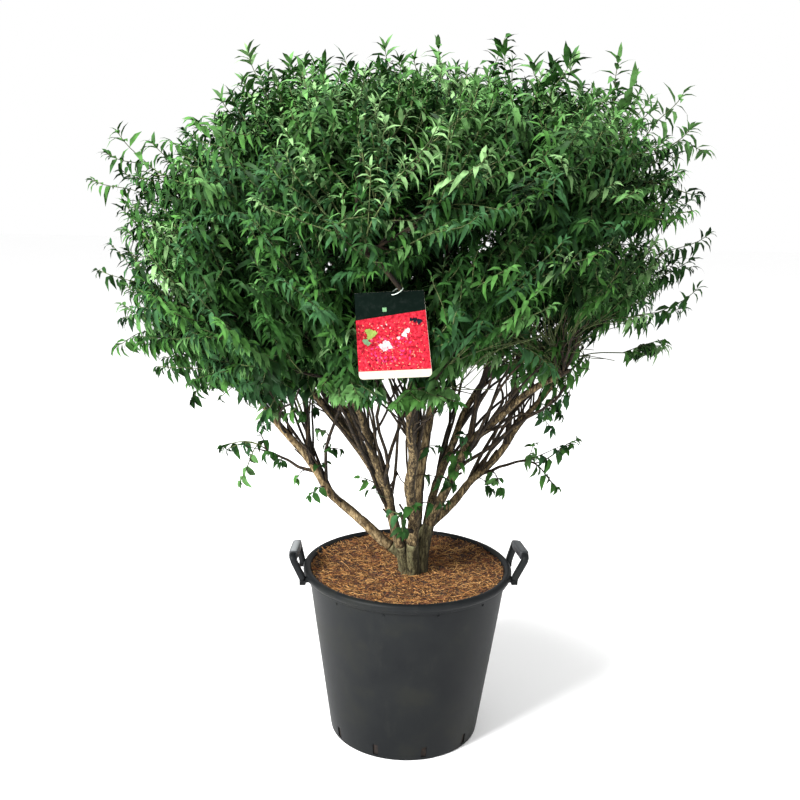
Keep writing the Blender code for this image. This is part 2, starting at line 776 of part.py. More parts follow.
def plan_targets(space):
    """Points that shoots grow to, by mass: far tips first, then the shell and the inside."""
    rng = random.Random("targets")
    targets = {index: [] for index in range(len(MASSES))}
    for tip in FAR_TIPS:
        targets[space.owner(np.array(tip))].append(np.array(tip))
    centre = np.array(CROWN_CENTRE)
    for count, share in ((SHELL_TARGETS, SHELL_REACH), (CORE_TARGETS, CORE_REACH)):
        for direction in spread_directions(count):
            if direction[2] < LOWEST_TARGET:
                continue
            lump = 1.0 + rng.uniform(-OUTLINE_LUMPS, OUTLINE_OVER)
            point = centre + direction * crown_reach(direction) * share * lump
            targets[space.owner(point)].append(point)
    for index, mass in enumerate(MASSES):
        if not mass.radius:
            continue
        for direction in spread_directions(BALL_TARGETS):
            targets[index].append(space.centres[index] + direction * mass.radius * BALL_REACH)
    return targets


def leaf_frame(root, way, side, droop):
    """4 by 4 frame of a leaf: x along the leaf, y across it, z its upper side."""
    along_leaf = unit(way + np.array([0.0, 0.0, -droop]))
    across = side - along_leaf * (side @ along_leaf)
    across = unit(across)
    upper = np.cross(along_leaf, across)
    frame = np.eye(4)
    frame[:3, 0], frame[:3, 1], frame[:3, 2] = along_leaf, across, upper
    frame[:3, 3] = root - along_leaf * LEAF_SINK
    return frame


def leaf_mesh():
    """A flat eight-faced leaf, widest a little below its middle."""
    mesh = bpy.data.meshes.new("leaf")
    work = bmesh.new()
    bmesh.ops.create_uvsphere(work, u_segments=4, v_segments=2, radius=1.0)
    for vert in work.verts:
        lengthways, across, up = vert.co.x, vert.co.y, vert.co.z
        share = 0.0 if lengthways < -0.5 else 1.0 if lengthways > 0.5 else LEAF_WIDEST
        vert.co = (share * LEAF_LENGTH, across * LEAF_WIDTH / 2, up * LEAF_THICK / 2)
    work.to_mesh(mesh)
    work.free()
    return mesh


LEAF_CORNERS = np.array([
    (0.0, 0.0, 0.0),
    (LEAF_LENGTH, 0.0, 0.0),
    (LEAF_WIDEST * LEAF_LENGTH, LEAF_WIDTH / 2, 0.0),
    (LEAF_WIDEST * LEAF_LENGTH, -LEAF_WIDTH / 2, 0.0),
])


def leaf_edges(frame, size):
    """Points along a leaf's outline and midrib, apart from its root."""
    corners = size * LEAF_CORNERS @ frame[:3, :3].T + frame[:3, 3]
    root, tip, left, right = corners
    pairs = ((root, tip), (root, left), (left, tip), (root, right), (right, tip))
    points = np.vstack([np.linspace(first, last, EDGE_POINTS) for first, last in pairs])
    return points[np.linalg.norm(points - root, axis=1) > LEAF_APART]


def leaf_fits(space, index, frame, others):
    """True if a leaf stays in its mass's space, clear of limbs and of the mass's other leaves."""
    size = MASSES[index].leaf
    corners = size * LEAF_CORNERS @ frame[:3, :3].T + frame[:3, 3]
    if not space.inside(index, corners, CELL_MARGIN + LEAF_THICK / 2):
        return False
    if not space.leaf_clear(frame, size):
        return False
    if not others:
        return True
    points = np.vstack(others)
    points = points[np.linalg.norm(points - corners[0], axis=1) > LEAF_APART]
    local = (points - frame[:3, 3]) @ frame[:3, :3]
    near = (local[:, 0] > 0.0) & (local[:, 0] < size * LEAF_LENGTH)
    near &= np.abs(local[:, 1]) < size * LEAF_WIDTH / 2
    near &= np.abs(local[:, 2]) < LEAF_THICK
    return not bool(near.any())


def twig_line(start, start_way, start_run, end):
    """A short curve from a point on another twig, or from the root, that lifts at its end."""
    span = np.linalg.norm(end - start)
    onward = (end - start) / span
    last = unit(onward + np.array([0.0, 0.0, TWIG_LIFT]))
    first = start_way if start_run == 0.0 else unit(start_way + onward)
    return bezier(start, first, last, end, 4 if span > TWIG_LONG else 3)


def grow_mass(space, index, root, way, targets, rng):
    """Twigs and leaf frames of one mass, which branches from its root by nearest way."""
    nodes = [(root, way, 0.0)]
    twigs, frames, taken = [], [], []
    size = MASSES[index].leaf
    ordered = sorted(targets, key=lambda target: np.linalg.norm(target - root))
    for target in ordered:
        outward = unit(target - root)
        end = target - outward * LEAF_LENGTH * size * LEAF_END_SHARE
        if np.linalg.norm(end - root) < TWIG_SHORTEST * size:
            end = root + outward * TWIG_SHORTEST * size
        ranked = sorted(nodes, key=lambda node: np.linalg.norm(end - node[0]) + PATH_COST * node[2])
        for start, start_way, start_run in ranked[:TWIG_STARTS_TRIED]:
            if np.linalg.norm(end - start) < TWIG_NEAREST * size:
                continue
            line = twig_line(start, start_way, start_run, end)
            free = root if start_run == 0.0 else None
            within = space.inside(index, line, CELL_MARGIN + TWIG_ROOT_RADIUS)
            if within and space.twig_clear(line, TWIG_ROOT_RADIUS, free):
                break
        else:
            continue
        twigs.append(line)
        taken.append(np.vstack([np.linspace(a, b, EDGE_POINTS) for a, b in zip(line[:-1], line[1:])]))
        run = start_run
        for before, after in zip(line[:-1], line[1:]):
            run += np.linalg.norm(after - before)
            nodes.append((after, unit(after - before), run))
        frames += grow_leaves(space, index, line, target, rng, taken)
    return twigs, frames


def scatter(rng, size):
    return np.array([rng.uniform(-size, size) for _ in range(3)])


def grow_leaves(space, index, line, target, rng, taken):
    """An end leaf and a pair below it, each turned until it fits or is skipped."""
    tip_way = unit(line[-1] - line[-2])
    pair_place = line[-1] - tip_way * PAIR_BACK
    frames = []
    turn = rng.uniform(0.0, math.pi)
    level = np.cross(tip_way, np.array([0.0, 0.0, 1.0]))
    level = unit(level) if np.linalg.norm(level) > LEVEL_LEAST else np.array([1.0, 0.0, 0.0])
    rise = np.cross(level, tip_way)
    plans = [(line[-1], unit(target - line[-1]), 0.0)]
    for sign in (1.0, -1.0):
        across = level * math.cos(turn * PAIR_TURN) + rise * math.sin(turn * PAIR_TURN)
        spread = math.radians(LEAF_SPREAD)
        plans.append((pair_place, tip_way * math.cos(spread) + across * sign * math.sin(spread), LEAF_DROOP))
    for place, way, droop in plans:
        for _ in range(LEAF_TRIES):
            side = level + scatter(rng, SIDE_SCATTER)
            if abs(unit(side) @ unit(way)) > SIDE_ALIGNED:
                side = rise
            frame = leaf_frame(place, way, side, droop)
            if leaf_fits(space, index, frame, taken):
                frames.append(frame)
                taken.append(leaf_edges(frame, MASSES[index].leaf))
                break
            way = unit(way + scatter(rng, WAY_SCATTER))
    return frames


def triangle_section(cutters):
    """A three-cornered section for twigs, of unit radius."""
    curve = bpy.data.curves.new("twig_section", "CURVE")
    curve.dimensions = "2D"
    spline = curve.splines.new("POLY")
    spline.points.add(2)
    for corner, point in enumerate(spline.points):
        around = math.radians(90 + 120 * corner)
        point.co = (math.cos(around), math.sin(around), 0.0, 1.0)
    spline.use_cyclic_u = True
    item = bpy.data.objects.new("twig_section", curve)
    cutters.objects.link(item)
    return as_cutter(item)


def mass_root(plan, mass):
    """Where a mass starts, which way it sets off, and the radius of what it meets there."""
    _, line, total, radius_at = plan[mass.limb]
    tip, way = along(line, total)
    return tip, way, radius_at(total)


def twig_tube(name, line, thickness, section, parts):
    """A three-sided twig, sunk into what it grows from."""
    radii = thickness * np.linspace(TWIG_ROOT_RADIUS, TWIG_TIP_RADIUS, len(line))
    start = line[0] - unit(line[1] - line[0]) * TWIG_SINK
    return tube(name, np.vstack([start, line[1:]]), radii, parts, section=section)


def make_masses(plan, space, parts, cutters, material):
    section = triangle_section(cutters)
    leaf = leaf_mesh()
    targets = plan_targets(space)
    for index, mass in enumerate(MASSES):
        tip, way, root_radius = mass_root(plan, mass)
        root = tip + way * GAP
        collar = root + way * COLLAR_LENGTH
        rng = random.Random(mass.name)
        twigs, frames = grow_mass(space, index, collar, way, targets[index], rng)
        stem_radii = [root_radius * share for share in COLLAR_TAPER]
        pieces = [tube("stem", [root, collar, collar + way * COLLAR_SINK], stem_radii, parts)]
        for number, line in enumerate(twigs):
            pieces.append(twig_tube("twig_%03d" % number, line, mass.leaf**0.5, section, parts))
        for number, frame in enumerate(frames):
            item = bpy.data.objects.new("leaf_%03d" % number, leaf)
            item.matrix_world = Matrix(frame.tolist()) @ Matrix.Scale(mass.leaf, 4)
            parts.objects.link(item)
            pieces.append(item)
        fuse(mass.name, pieces, parts, material, "MANIFOLD")


def tag_place(plan):
    """Where the loop hangs on its bough, nearly square to the card, and the card's hole."""
    _, line, total, radius_at = plan[TAG_BOUGH]
    points, _ = limb_stretch(line, 0.0, total, radius_at)
    hold, way = along(points, lengths(points)[-1] - TAG_BACK)
    way = unit(way * (1.0, LOOP_TURN, 1.0))
    down = unit(way * way[2] - np.array([0.0, 0.0, 1.0]))
    inner = LOOP_RADIUS * math.cos(math.pi / LOOP_STEPS) - LOOP_WIRE
    slack = inner - GAP - radius_at(total - TAG_BACK)
    middle = hold + down * slack
    rest = TAG_HOLE_RADIUS - LOOP_WIRE - GAP
    hole = middle + down * LOOP_RADIUS - np.array([0.0, 0.0, rest])
    return middle, way, hole


def tag_frame(hole):
    """4 by 4 frame of the tag: x along its width, y up it, z out of its face to the front."""
    tilt = Matrix.Rotation(math.radians(-TAG_TILT), 4, "Y")
    return Matrix.Translation(hole.tolist()) @ tilt @ Matrix.Rotation(math.radians(90), 4, "X")


def tag_keep_out(hole):
    """Points over the tag and the air in front of it, where no leaf hangs."""
    frame = tag_frame(hole)
    columns, rows, layers = TAG_GRID
    points = []
    for across in np.linspace(-TAG_WIDTH / 2, TAG_WIDTH / 2, columns):
        for up in np.linspace(TAG_HOLE_DROP - TAG_HEIGHT, TAG_HOLE_DROP + TAG_KEEP_ABOVE, rows):
            for out in np.linspace(-TAG_KEEP_BEHIND, TAG_VIEW, layers):
                points.append(np.array(frame @ Vector((across, up + TAG_VIEW_RISE * out, out))))
    return points


def arc_points(centre, radius, first, span, count):
    """Points along an arc that starts at first and turns through span, both in degrees."""
    angles = np.radians(first + span * np.arange(count) / count)
    return [(centre[0] + radius * math.cos(angle), centre[1] + radius * math.sin(angle)) for angle in angles]


def tag_outline():
    """Card outline about the hole, with its lower corners rounded."""
    left, right = -TAG_WIDTH / 2, TAG_WIDTH / 2
    top, bottom = TAG_HOLE_DROP, TAG_HOLE_DROP - TAG_HEIGHT
    low = bottom + TAG_CORNER
    outline = [(right, top), (left, top)]
    outline += arc_points((left + TAG_CORNER, low), TAG_CORNER, 180.0, 112.5, 5)
    outline += arc_points((right - TAG_CORNER, low), TAG_CORNER, 270.0, 112.5, 5)
    return outline


def make_tag(plan, parts, materials):
    middle, way, hole = tag_place(plan)
    curve = bpy.data.curves.new("tag_outline", "CURVE")
    curve.dimensions = "2D"
    curve.fill_mode = "BOTH"
    curve.extrude = TAG_THICK / 2
    hole_outline = arc_points((0.0, 0.0), TAG_HOLE_RADIUS, 0.0, 360.0, 12)
    for outline in (tag_outline(), hole_outline):
        spline = curve.splines.new("POLY")
        spline.points.add(len(outline) - 1)
        for point, (across, up) in zip(spline.points, outline):
            point.co = (across, up, 0.0, 1.0)
        spline.use_cyclic_u = True
    guide = bpy.data.objects.new("tag_guide", curve)
    parts.objects.link(guide)
    mesh = evaluated_mesh(guide)
    bpy.data.objects.remove(guide)
    tag = add_object("picture_tag", mesh, parts, materials["tag"])
    tag.matrix_world = tag_frame(hole)
    bpy.ops.mesh.primitive_torus_add(
        major_radius=LOOP_RADIUS, minor_radius=LOOP_WIRE, major_segments=LOOP_STEPS, minor_segments=6
    )
    loop = bpy.context.object
    loop.name = "tag_loop"
    loop.data.materials.append(materials["loop"])
    loop.rotation_mode = "QUATERNION"
    loop.rotation_quaternion = Vector(way).to_track_quat("Z", "Y")
    loop.location = middle
    take(loop, parts)


def main():
    clear_scene()
    parts = new_collection("potted_dwarf_burning_bush")
    cutters = new_collection("cutters")
    materials = {name: make_material(name) for name in COLOURS}
    make_pot(parts, cutters, materials["pot"])
    for name, azimuth in HANDLE_AZIMUTH.items():
        make_handle(name, azimuth, parts, materials["pot"])
    make_medium(parts, materials["medium"])
    plan = plan_limbs()
    make_trunk(plan, parts, cutters, materials["bark"])
    make_boughs(plan, parts, cutters, materials["bark"])
    make_tag(plan, parts, materials)
    _, _, hole = tag_place(plan)
    space = Space(plan, tag_keep_out(hole))
    make_masses(plan, space, parts, cutters, materials["leaf"])


main()
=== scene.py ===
"""Looks of the potted dwarf burning bush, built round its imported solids.

Metres, +Z up, in the frame of the solids. The limbs follow the rule that the solids follow,
with bark relief on them, and the masses of leaves grow on from their tips by that same rule,
carried to finer twigs within the same spaces.
"""

import json
import math
import random
from dataclasses import dataclass

import bmesh
import bpy
import numpy as np
from mathutils import Matrix, Vector, kdtree, noise

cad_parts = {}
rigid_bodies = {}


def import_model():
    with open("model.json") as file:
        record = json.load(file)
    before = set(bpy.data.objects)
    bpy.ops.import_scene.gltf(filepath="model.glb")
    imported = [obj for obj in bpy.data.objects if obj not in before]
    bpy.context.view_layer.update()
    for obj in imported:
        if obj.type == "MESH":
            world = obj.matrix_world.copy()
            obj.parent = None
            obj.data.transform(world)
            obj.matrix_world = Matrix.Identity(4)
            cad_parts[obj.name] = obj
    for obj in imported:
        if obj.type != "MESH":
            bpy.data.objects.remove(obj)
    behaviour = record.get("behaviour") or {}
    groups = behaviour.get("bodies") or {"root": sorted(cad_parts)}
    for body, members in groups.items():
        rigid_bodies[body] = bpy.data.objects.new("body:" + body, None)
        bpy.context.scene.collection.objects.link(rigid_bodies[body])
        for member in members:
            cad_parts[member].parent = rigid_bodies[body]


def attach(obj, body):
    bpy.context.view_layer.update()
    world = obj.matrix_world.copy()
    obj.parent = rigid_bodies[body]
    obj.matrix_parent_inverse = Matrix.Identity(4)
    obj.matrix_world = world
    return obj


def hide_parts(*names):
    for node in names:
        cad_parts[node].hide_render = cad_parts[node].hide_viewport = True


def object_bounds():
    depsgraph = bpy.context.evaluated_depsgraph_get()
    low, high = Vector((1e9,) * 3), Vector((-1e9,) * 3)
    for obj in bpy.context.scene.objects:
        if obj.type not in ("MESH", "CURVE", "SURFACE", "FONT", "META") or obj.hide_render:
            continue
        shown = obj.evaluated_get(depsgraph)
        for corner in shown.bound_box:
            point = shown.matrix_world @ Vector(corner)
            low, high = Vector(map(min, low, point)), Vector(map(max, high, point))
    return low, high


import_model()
CAD_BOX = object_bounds()
BODY = "root"

# Camera: the photo is 800 pixels square
PHOTO_PIXELS = 800
FOCAL_PIXELS = 995.0
SENSOR = 36.0
CAMERA_PLACE = (-0.028, -2.3, 1.34)
CAMERA_DOWN = 12.4
CAMERA_ROLL = 1.37

# Pot
RIM_RADIUS = 0.255
RIM_TOP = 0.425
RIM_LIP = 0.024
RIM_INNER_RADIUS = 0.2365
WALL_TOP_RADIUS = 0.2400
BASE_RADIUS = 0.183
BASE_ROUND = 0.004
WALL = 0.0035
FLOOR = 0.005
POT_STEPS = 144
SLOT_COUNT = 10
SLOT_FIRST_AZIMUTH = 213.0
SLOT_WIDTH = 0.013
SLOT_DEPTH = 0.035
SLOT_BOTTOM = 0.008
SLOT_TOP = 0.036

# Handles: thick square-edged legs with a rounded sleeve between them
# By name: azimuth of each handle, and the share of painted highlight on its sleeve's top
HANDLES = {"handle_right": (1.0, 0.06), "handle_left": (186.0, 0.60)}
HANDLE_FOOT_SPREAD = 12.8
HANDLE_FOOT_Z = 0.403
HANDLE_BEND_Z = 0.414
HANDLE_TOP_Z = 0.4690
HANDLE_TOP_OUT = 0.281
HANDLE_TOP_HALF = 0.052
STRAP_WIDTH = 0.0165
STRAP_THICK = 0.0158
GRIP_RADIUS = 0.0116
HANDLE_SKEW = 0.007
HANDLE_SHIFT = 0.013
LUG_INNER = 0.245
LUG_TOP = 0.417
GRIP_HALF = 0.038

# Growing medium
MEDIUM_TOP = 0.405
MEDIUM_EDGE_RISE = 0.008
EDGE_HEAP = 0.005
MEDIUM_HEAP = 0.009
MEDIUM_HEAP_SPREAD = 0.075
FIBRE_COUNT = 7600
CURL_COUNT = 700
CHIP_COUNT = 420
HOLES = ((-0.075, -0.035, 0.016), (0.040, -0.135, 0.014))
HOLE_DEPTH = 0.010

# Trunk and limbs
TRUNK_X = 0.014
TRUNK_RING = 0.020
CENTRE_STEM = "bough_centre"
PALE_STEM = "bough_left_low"
TRUNK_WEB_RADIUS = 0.033
TRUNK_CORE_TOP = 0.500
TRUNK_FLARE = 1.35
CORE_FLARE = 0.16
TRUNK_FLARE_HEIGHT = 0.03
TRUNK_SINK = 0.012
BEZIER_REACH = 0.36
LIMB_POINTS = 41
LIMB_TAPER = 0.8
LIMB_WOBBLE = 0.006
WOBBLE_WAVES = (1.6, 2.8)
WOBBLE_FULL_SPAN = 0.5

# Bark relief
BARK_STEP = 0.006
BARK_FACE = 0.0034
BARK_FURROW = 0.0085
BARK_STRETCH = 6.0
BARK_DEPTH = 0.0026
BARK_DEPTH_SHARE = 0.20

# Crown outline
CROWN_CENTRE = (-0.03, 0.0, 1.20)
CROWN_ELEVATION = (-90, -60, -45, -30, -12, 5, 20, 35, 50, 65, 90)
CROWN_LEFT = (0.30, 0.42, 0.58, 0.68, 0.69, 0.68, 0.61, 0.535, 0.515, 0.44, 0.41)
CROWN_RIGHT = (0.30, 0.39, 0.47, 0.54, 0.62, 0.69, 0.70, 0.645, 0.52, 0.465, 0.41)
CROWN_DEPTH = 0.93
CROWN_FRONT_LIFT = 0.15
CROWN_LIFT_FROM = -15.0
CROWN_LIFT_FULL = -45.0
OUTLINE_LUMPS = 0.05
OUTLINE_OVER = 0.02
LOWEST_TARGET = -0.80
FAR_TIPS = (
    (-0.376, -0.02, 1.603),
    (-0.288, 0.08, 1.580),
    (-0.079, 0.00, 1.621),
    (0.183, 0.00, 1.652),
    (0.438, 0.02, 1.611),
    (0.582, 0.00, 1.543),
    (-0.734, 0.00, 1.326),
    (-0.731, 0.00, 1.124),
    (0.646, 0.00, 1.424),
    (0.669, 0.00, 1.239),
    (-0.694, 0.00, 0.948),
    (-0.521, 0.00, 0.822),
    (0.588, 0.00, 0.981),
    (0.390, 0.00, 0.893),
)

# Layers of shoot tips: how many, and their share of the crown's reach. The first two are those
# of the solids, and the others are the finer shoots.
LAYERS = ((66, 0.95), (16, 0.60), (1900, 0.97), (1550, 0.885), (1100, 0.78), (700, 0.64), (340, 0.46))
FINE_PULL = (0.00, 0.05)
STAND_OUT = 0.05
STAND_OUT_BY = 0.035
TOP_THIN = 0.08
LOW_THIN = 0.09

# Further shoot tips at the sides and in the hanging sprays under the crown
SIDE_TIPS = (
    (-0.180, -0.42, 0.950),
    (-0.145, -0.44, 0.935),
    (-0.110, -0.46, 0.945),
    (-0.070, -0.46, 0.940),
    (-0.035, -0.47, 0.930),
    (0.010, -0.47, 0.935),
    (0.045, -0.45, 0.940),
    (0.080, -0.44, 0.930),
    (0.120, -0.42, 0.940),
    (0.155, -0.39, 0.945),
    (-0.090, -0.43, 0.925),
    (-0.470, 0.00, 0.865),
    (-0.445, -0.03, 0.840),
    (-0.415, 0.02, 0.825),
    (-0.385, -0.04, 0.850),
    (-0.420, 0.06, 0.850),
    (-0.350, -0.06, 0.835),
    (-0.500, 0.03, 0.880),
    (-0.270, -0.12, 0.840),
    (-0.245, -0.14, 0.825),
    (-0.215, -0.16, 0.850),
    (-0.300, -0.08, 0.820),
    (0.345, -0.02, 0.840),
    (0.318, -0.05, 0.825),
    (0.370, 0.02, 0.850),
    (0.352, -0.04, 0.890),
    (0.575, -0.02, 0.995),
    (0.550, 0.02, 0.980),
    (0.505, -0.05, 0.970),
    (0.455, -0.08, 0.955),
    (0.405, -0.06, 0.930),
    (-0.060, -0.560, 1.200),
    (-0.105, -0.550, 1.190),
    (0.075, -0.550, 1.175),
    (0.645, -0.02, 1.115),
    (0.632, 0.03, 1.065),
    (0.650, 0.05, 1.160),
    (-0.690, -0.03, 1.385),
    (-0.675, 0.05, 1.345),
    (-0.660, -0.05, 1.430),
    (-0.685, 0.02, 1.010),
    (-0.665, -0.04, 1.050),
    (-0.640, 0.06, 0.975),
)

# Clumps of shoots: their number, how they rise over the gaps between them, and their spread
CLUMP_COUNT = 330
CLUMP_RISE = (-0.060, 0.025)
CLUMP_TOP = 1.0
CLUMP_DEPTH = 0.13
CLUMP_SPREAD = 0.115
CLUMP_PULL = 0.30
BALL_TARGETS = 3
BALL_REACH = 0.92
BALL_FINE = 3
BALL_LOWEST = -0.3
BALL_TWIGS = 1.6
BALL_SIZE = 1.05

# Twigs
PATH_COST = 0.4
COLLAR_LENGTH = 0.022
TWIG_TIP_RADIUS = 0.0010
TWIG_GROWTH = 0.36
TWIG_POINTS = 6
SHOOT_SHORTEST = 0.10
FINE_TWIG = 0.0021

# Fine boughs that rise in the fan of stems under the crown
FAN_COUNT = 112
FAN_POINTS = 10
FAN_FROM = (0.32, 0.84)
FAN_RADII = (0.0047, 0.0021)
STUBS_PER_STEM = 4

# Leaf tufts that hang in the open fan: where the twig of each ends
TUFT_NEAREST = 0.030
TUFT_LEAFY = 0.090
TUFT_SIZE = 0.92
TUFT_HANG = 0.75
TUFT_SPACING = 2.3
LOW_TUFTS = (
    (-0.392, -0.02, 0.720),
    (-0.330, -0.04, 0.712),
    (-0.305, -0.05, 0.690),
    (-0.345, -0.03, 0.772),
    (-0.262, -0.08, 0.660),
    (-0.232, -0.09, 0.622),
    (-0.205, -0.05, 0.690),
    (-0.190, -0.10, 0.745),
    (-0.165, -0.09, 0.735),
    (-0.215, -0.08, 0.780),
    (-0.112, -0.16, 0.690),
    (-0.092, -0.16, 0.660),
    (0.065, -0.14, 0.760),
    (0.085, -0.12, 0.735),
    (0.100, -0.14, 0.705),
    (0.075, -0.15, 0.690),
    (0.098, -0.10, 0.660),
    (0.115, -0.12, 0.780),
    (0.130, -0.10, 0.745),
    (0.082, -0.12, 0.625),
    (0.190, -0.06, 0.640),
    (0.218, -0.05, 0.632),
    (0.205, -0.05, 0.655),
    (0.290, -0.04, 0.745),
    (0.330, -0.03, 0.780),
    (0.352, -0.02, 0.735),
    (0.345, -0.05, 0.820),
    (0.300, -0.08, 0.830),
)

# Places where the crown is open: both ends and radius of each, and the share of shoots bare there
OPEN_PLACES = (
    ((0.170, -0.42, 0.985), (0.251, 0.45, 0.835), 0.100, 0.90),
    ((0.265, -0.40, 1.015), (0.367, 0.45, 0.895), 0.105, 0.90),
    ((0.373, -0.32, 1.035), (0.478, 0.40, 0.950), 0.075, 0.80),
    ((0.091, -0.35, 0.945), (0.137, 0.40, 0.793), 0.050, 0.60),
    ((-0.229, -0.35, 0.937), (-0.306, 0.40, 0.782), 0.050, 0.60),
    ((-0.344, -0.25, 0.914), (-0.437, 0.35, 0.789), 0.065, 0.70),
)

# Leaves: in pairs, close at a shoot's tip and further apart below it
LEAF_LENGTH = 0.041
LEAF_WIDTH = 0.0112
LEAF_SPACING = 0.0158
LEAFY_LENGTH = 0.19
LEAF_OPENING = (36.0, 68.0)
HANG_SPAN = (0.88, 1.42)
HANG_RANGE = (0.85, 0.12)
LEAF_FOLD = (0.25, 0.75)
LEAF_ARCH = (0.40, 0.98)
INNER_LEAVES = 0.80
INNER_SIZE = 1.15
OUTER_LEAVES = 0.955
TOP_SIZE = 1.42
BROAD_WIDE = 0.06
BROAD_FLAT = 0.15
UPRIGHT_STRAIGHT = 0.65
FRONT_SIZE = 0.84
FRONT_SPAN = (-0.50, -0.15)
FAN_LEAVES = 0.86
FAN_LEAVES_BLEND = 0.08
LOW_LEAVES = 1.15
LOW_LEAVES_BLEND = 0.25
LEAF_LIMB_CLEAR = 0.006
LEAF_PROUD = 0.012

# Picture tag
TAG_WIDTH = 0.135
TAG_HEIGHT = 0.160
TAG_THICK = 0.0010
TAG_CORNER = 0.008
TAG_HOLE_RADIUS = 0.0045
TAG_HOLE_DROP = 0.009
TAG_TILT = 4.0
TAG_TAPER = 0.009
MARK_LEVELS = 5
MARK_STEP = 0.00002
PATCH_SIDES = 28
TAG_PATCHES = {
    "tag_gold": ((122, 138, 66), ((-0.046, -0.062, 0.0055), (-0.038, -0.066, 0.0070), (-0.044, -0.072, 0.0050))),
    "tag_mint": ((96, 124, 92), ((-0.052, -0.080, 0.0050), (-0.047, -0.084, 0.0042))),
    "tag_pale": ((176, 154, 156), (
        (-0.022, -0.090, 0.0055), (-0.014, -0.086, 0.0065), (-0.017, -0.095, 0.0048), (-0.007, -0.092, 0.0040),
        (0.020, -0.070, 0.0050), (0.026, -0.063, 0.0045), (0.009, -0.076, 0.0030),
    )),
    "tag_shade": ((12, 16, 26), ((0.040, -0.0440, 0.0042), (0.048, -0.0470, 0.0048), (0.033, -0.0430, 0.0030))),
}
TAG_BOUGH = "bough_front_upper"
TAG_BACK = 0.095
LOOP_TURN = 0.35
LIMB_STEP = 0.080
STUB_STRAIGHT = 0.004
LOOP_RADIUS = 0.012
LOOP_WIRE = 0.0009
LOOP_STEPS = 18
GAP = 0.0003


@dataclass
class Limb:
    """A tapering limb, by the same values as its solid."""

    name: str
    parent: str
    start_at: float
    azimuth: float
    reach: float
    height: float
    lean_start: float
    lean_end: float
    thick_start: float
    thick_end: float
    twist: float = 0.0
    rise: float = -TRUNK_SINK


STEMS = (
    Limb("bough_left_low", "", 0.072, 187, 0.385, 0.858, 56, 37, 0.028, 0.0135, 0.0, 0.024),
    Limb("bough_left_front", "", 0.118, 211, 0.335, 0.930, 10, 50, 0.026, 0.0125),
    Limb("bough_front_left", "", 0.112, 243, 0.330, 0.930, 26, 36, 0.028, 0.0130),
    Limb("bough_front", "", 0.118, 266, 0.335, 0.920, 22, 40, 0.034, 0.0140),
    Limb("bough_right_front", "", 0.145, 326, 0.365, 0.945, 5, 60, 0.028, 0.0130),
    Limb("bough_right_low", "", 0.072, 5, 0.335, 0.890, 48, 38, 0.025, 0.0120, 0.0, 0.085),
    Limb("bough_right_back", "", 0.122, 46, 0.370, 0.945, 8, 60, 0.026, 0.0125),
    Limb("bough_back", "", 0.118, 90, 0.350, 0.920, 18, 40, 0.027, 0.0125),
    Limb("bough_left_back", "", 0.118, 148, 0.350, 0.925, 12, 46, 0.026, 0.0120),
    Limb("bough_centre", "", 0.150, 30, 0.080, 1.285, 3, 6, 0.028, 0.0105),
)
SIDE_BOUGHS = (
    Limb("bough_left_upper", "bough_left_low", 0.62, 183, 0.345, 1.265, 8, 22, 0.0150, 0.0090),
    Limb("bough_left_front_upper", "bough_left_front", 0.60, 222, 0.290, 1.265, 2, 18, 0.0145, 0.0090),
    Limb("bough_front_upper", "bough_front", 0.62, 258, 0.525, 1.215, 14, 52, 0.0145, 0.0085, -80),
    Limb("bough_right_front_upper", "bough_right_front", 0.58, 325, 0.290, 1.265, 6, 20, 0.0145, 0.0090),
    Limb("bough_right_upper", "bough_right_low", 0.62, 12, 0.330, 1.265, 4, 20, 0.0140, 0.0090),
    Limb("bough_back_upper", "bough_back", 0.58, 80, 0.290, 1.265, 4, 20, 0.0145, 0.0090),
    Limb("bough_left_back_upper", "bough_left_back", 0.58, 138, 0.290, 1.265, 4, 20, 0.0140, 0.0090),
    Limb("bough_inner", "bough_centre", 0.62, 250, 0.105, 1.040, 24, 14, 0.0120, 0.0085),
    Limb("bough_low_left_spray", "bough_left_low", 0.58, 181, 0.350, 0.700, 88, 74, 0.0080, 0.0060),
    Limb("bough_low_right_spray", "bough_right_low", 0.42, 1, 0.262, 0.692, 76, 84, 0.0075, 0.0060),
    Limb("bough_sucker", "bough_front", 0.26, 259, 0.152, 0.580, 78, 20, 0.0110, 0.0085),
)


@dataclass
class Mass:
    """A mass of leaves: the limb that carries it, the middle of its space, and its leaves' size."""

    name: str
    limb: str
    azimuth: float
    reach: float
    height: float
    radius: float = 0.0
    leaf: float = 1.0


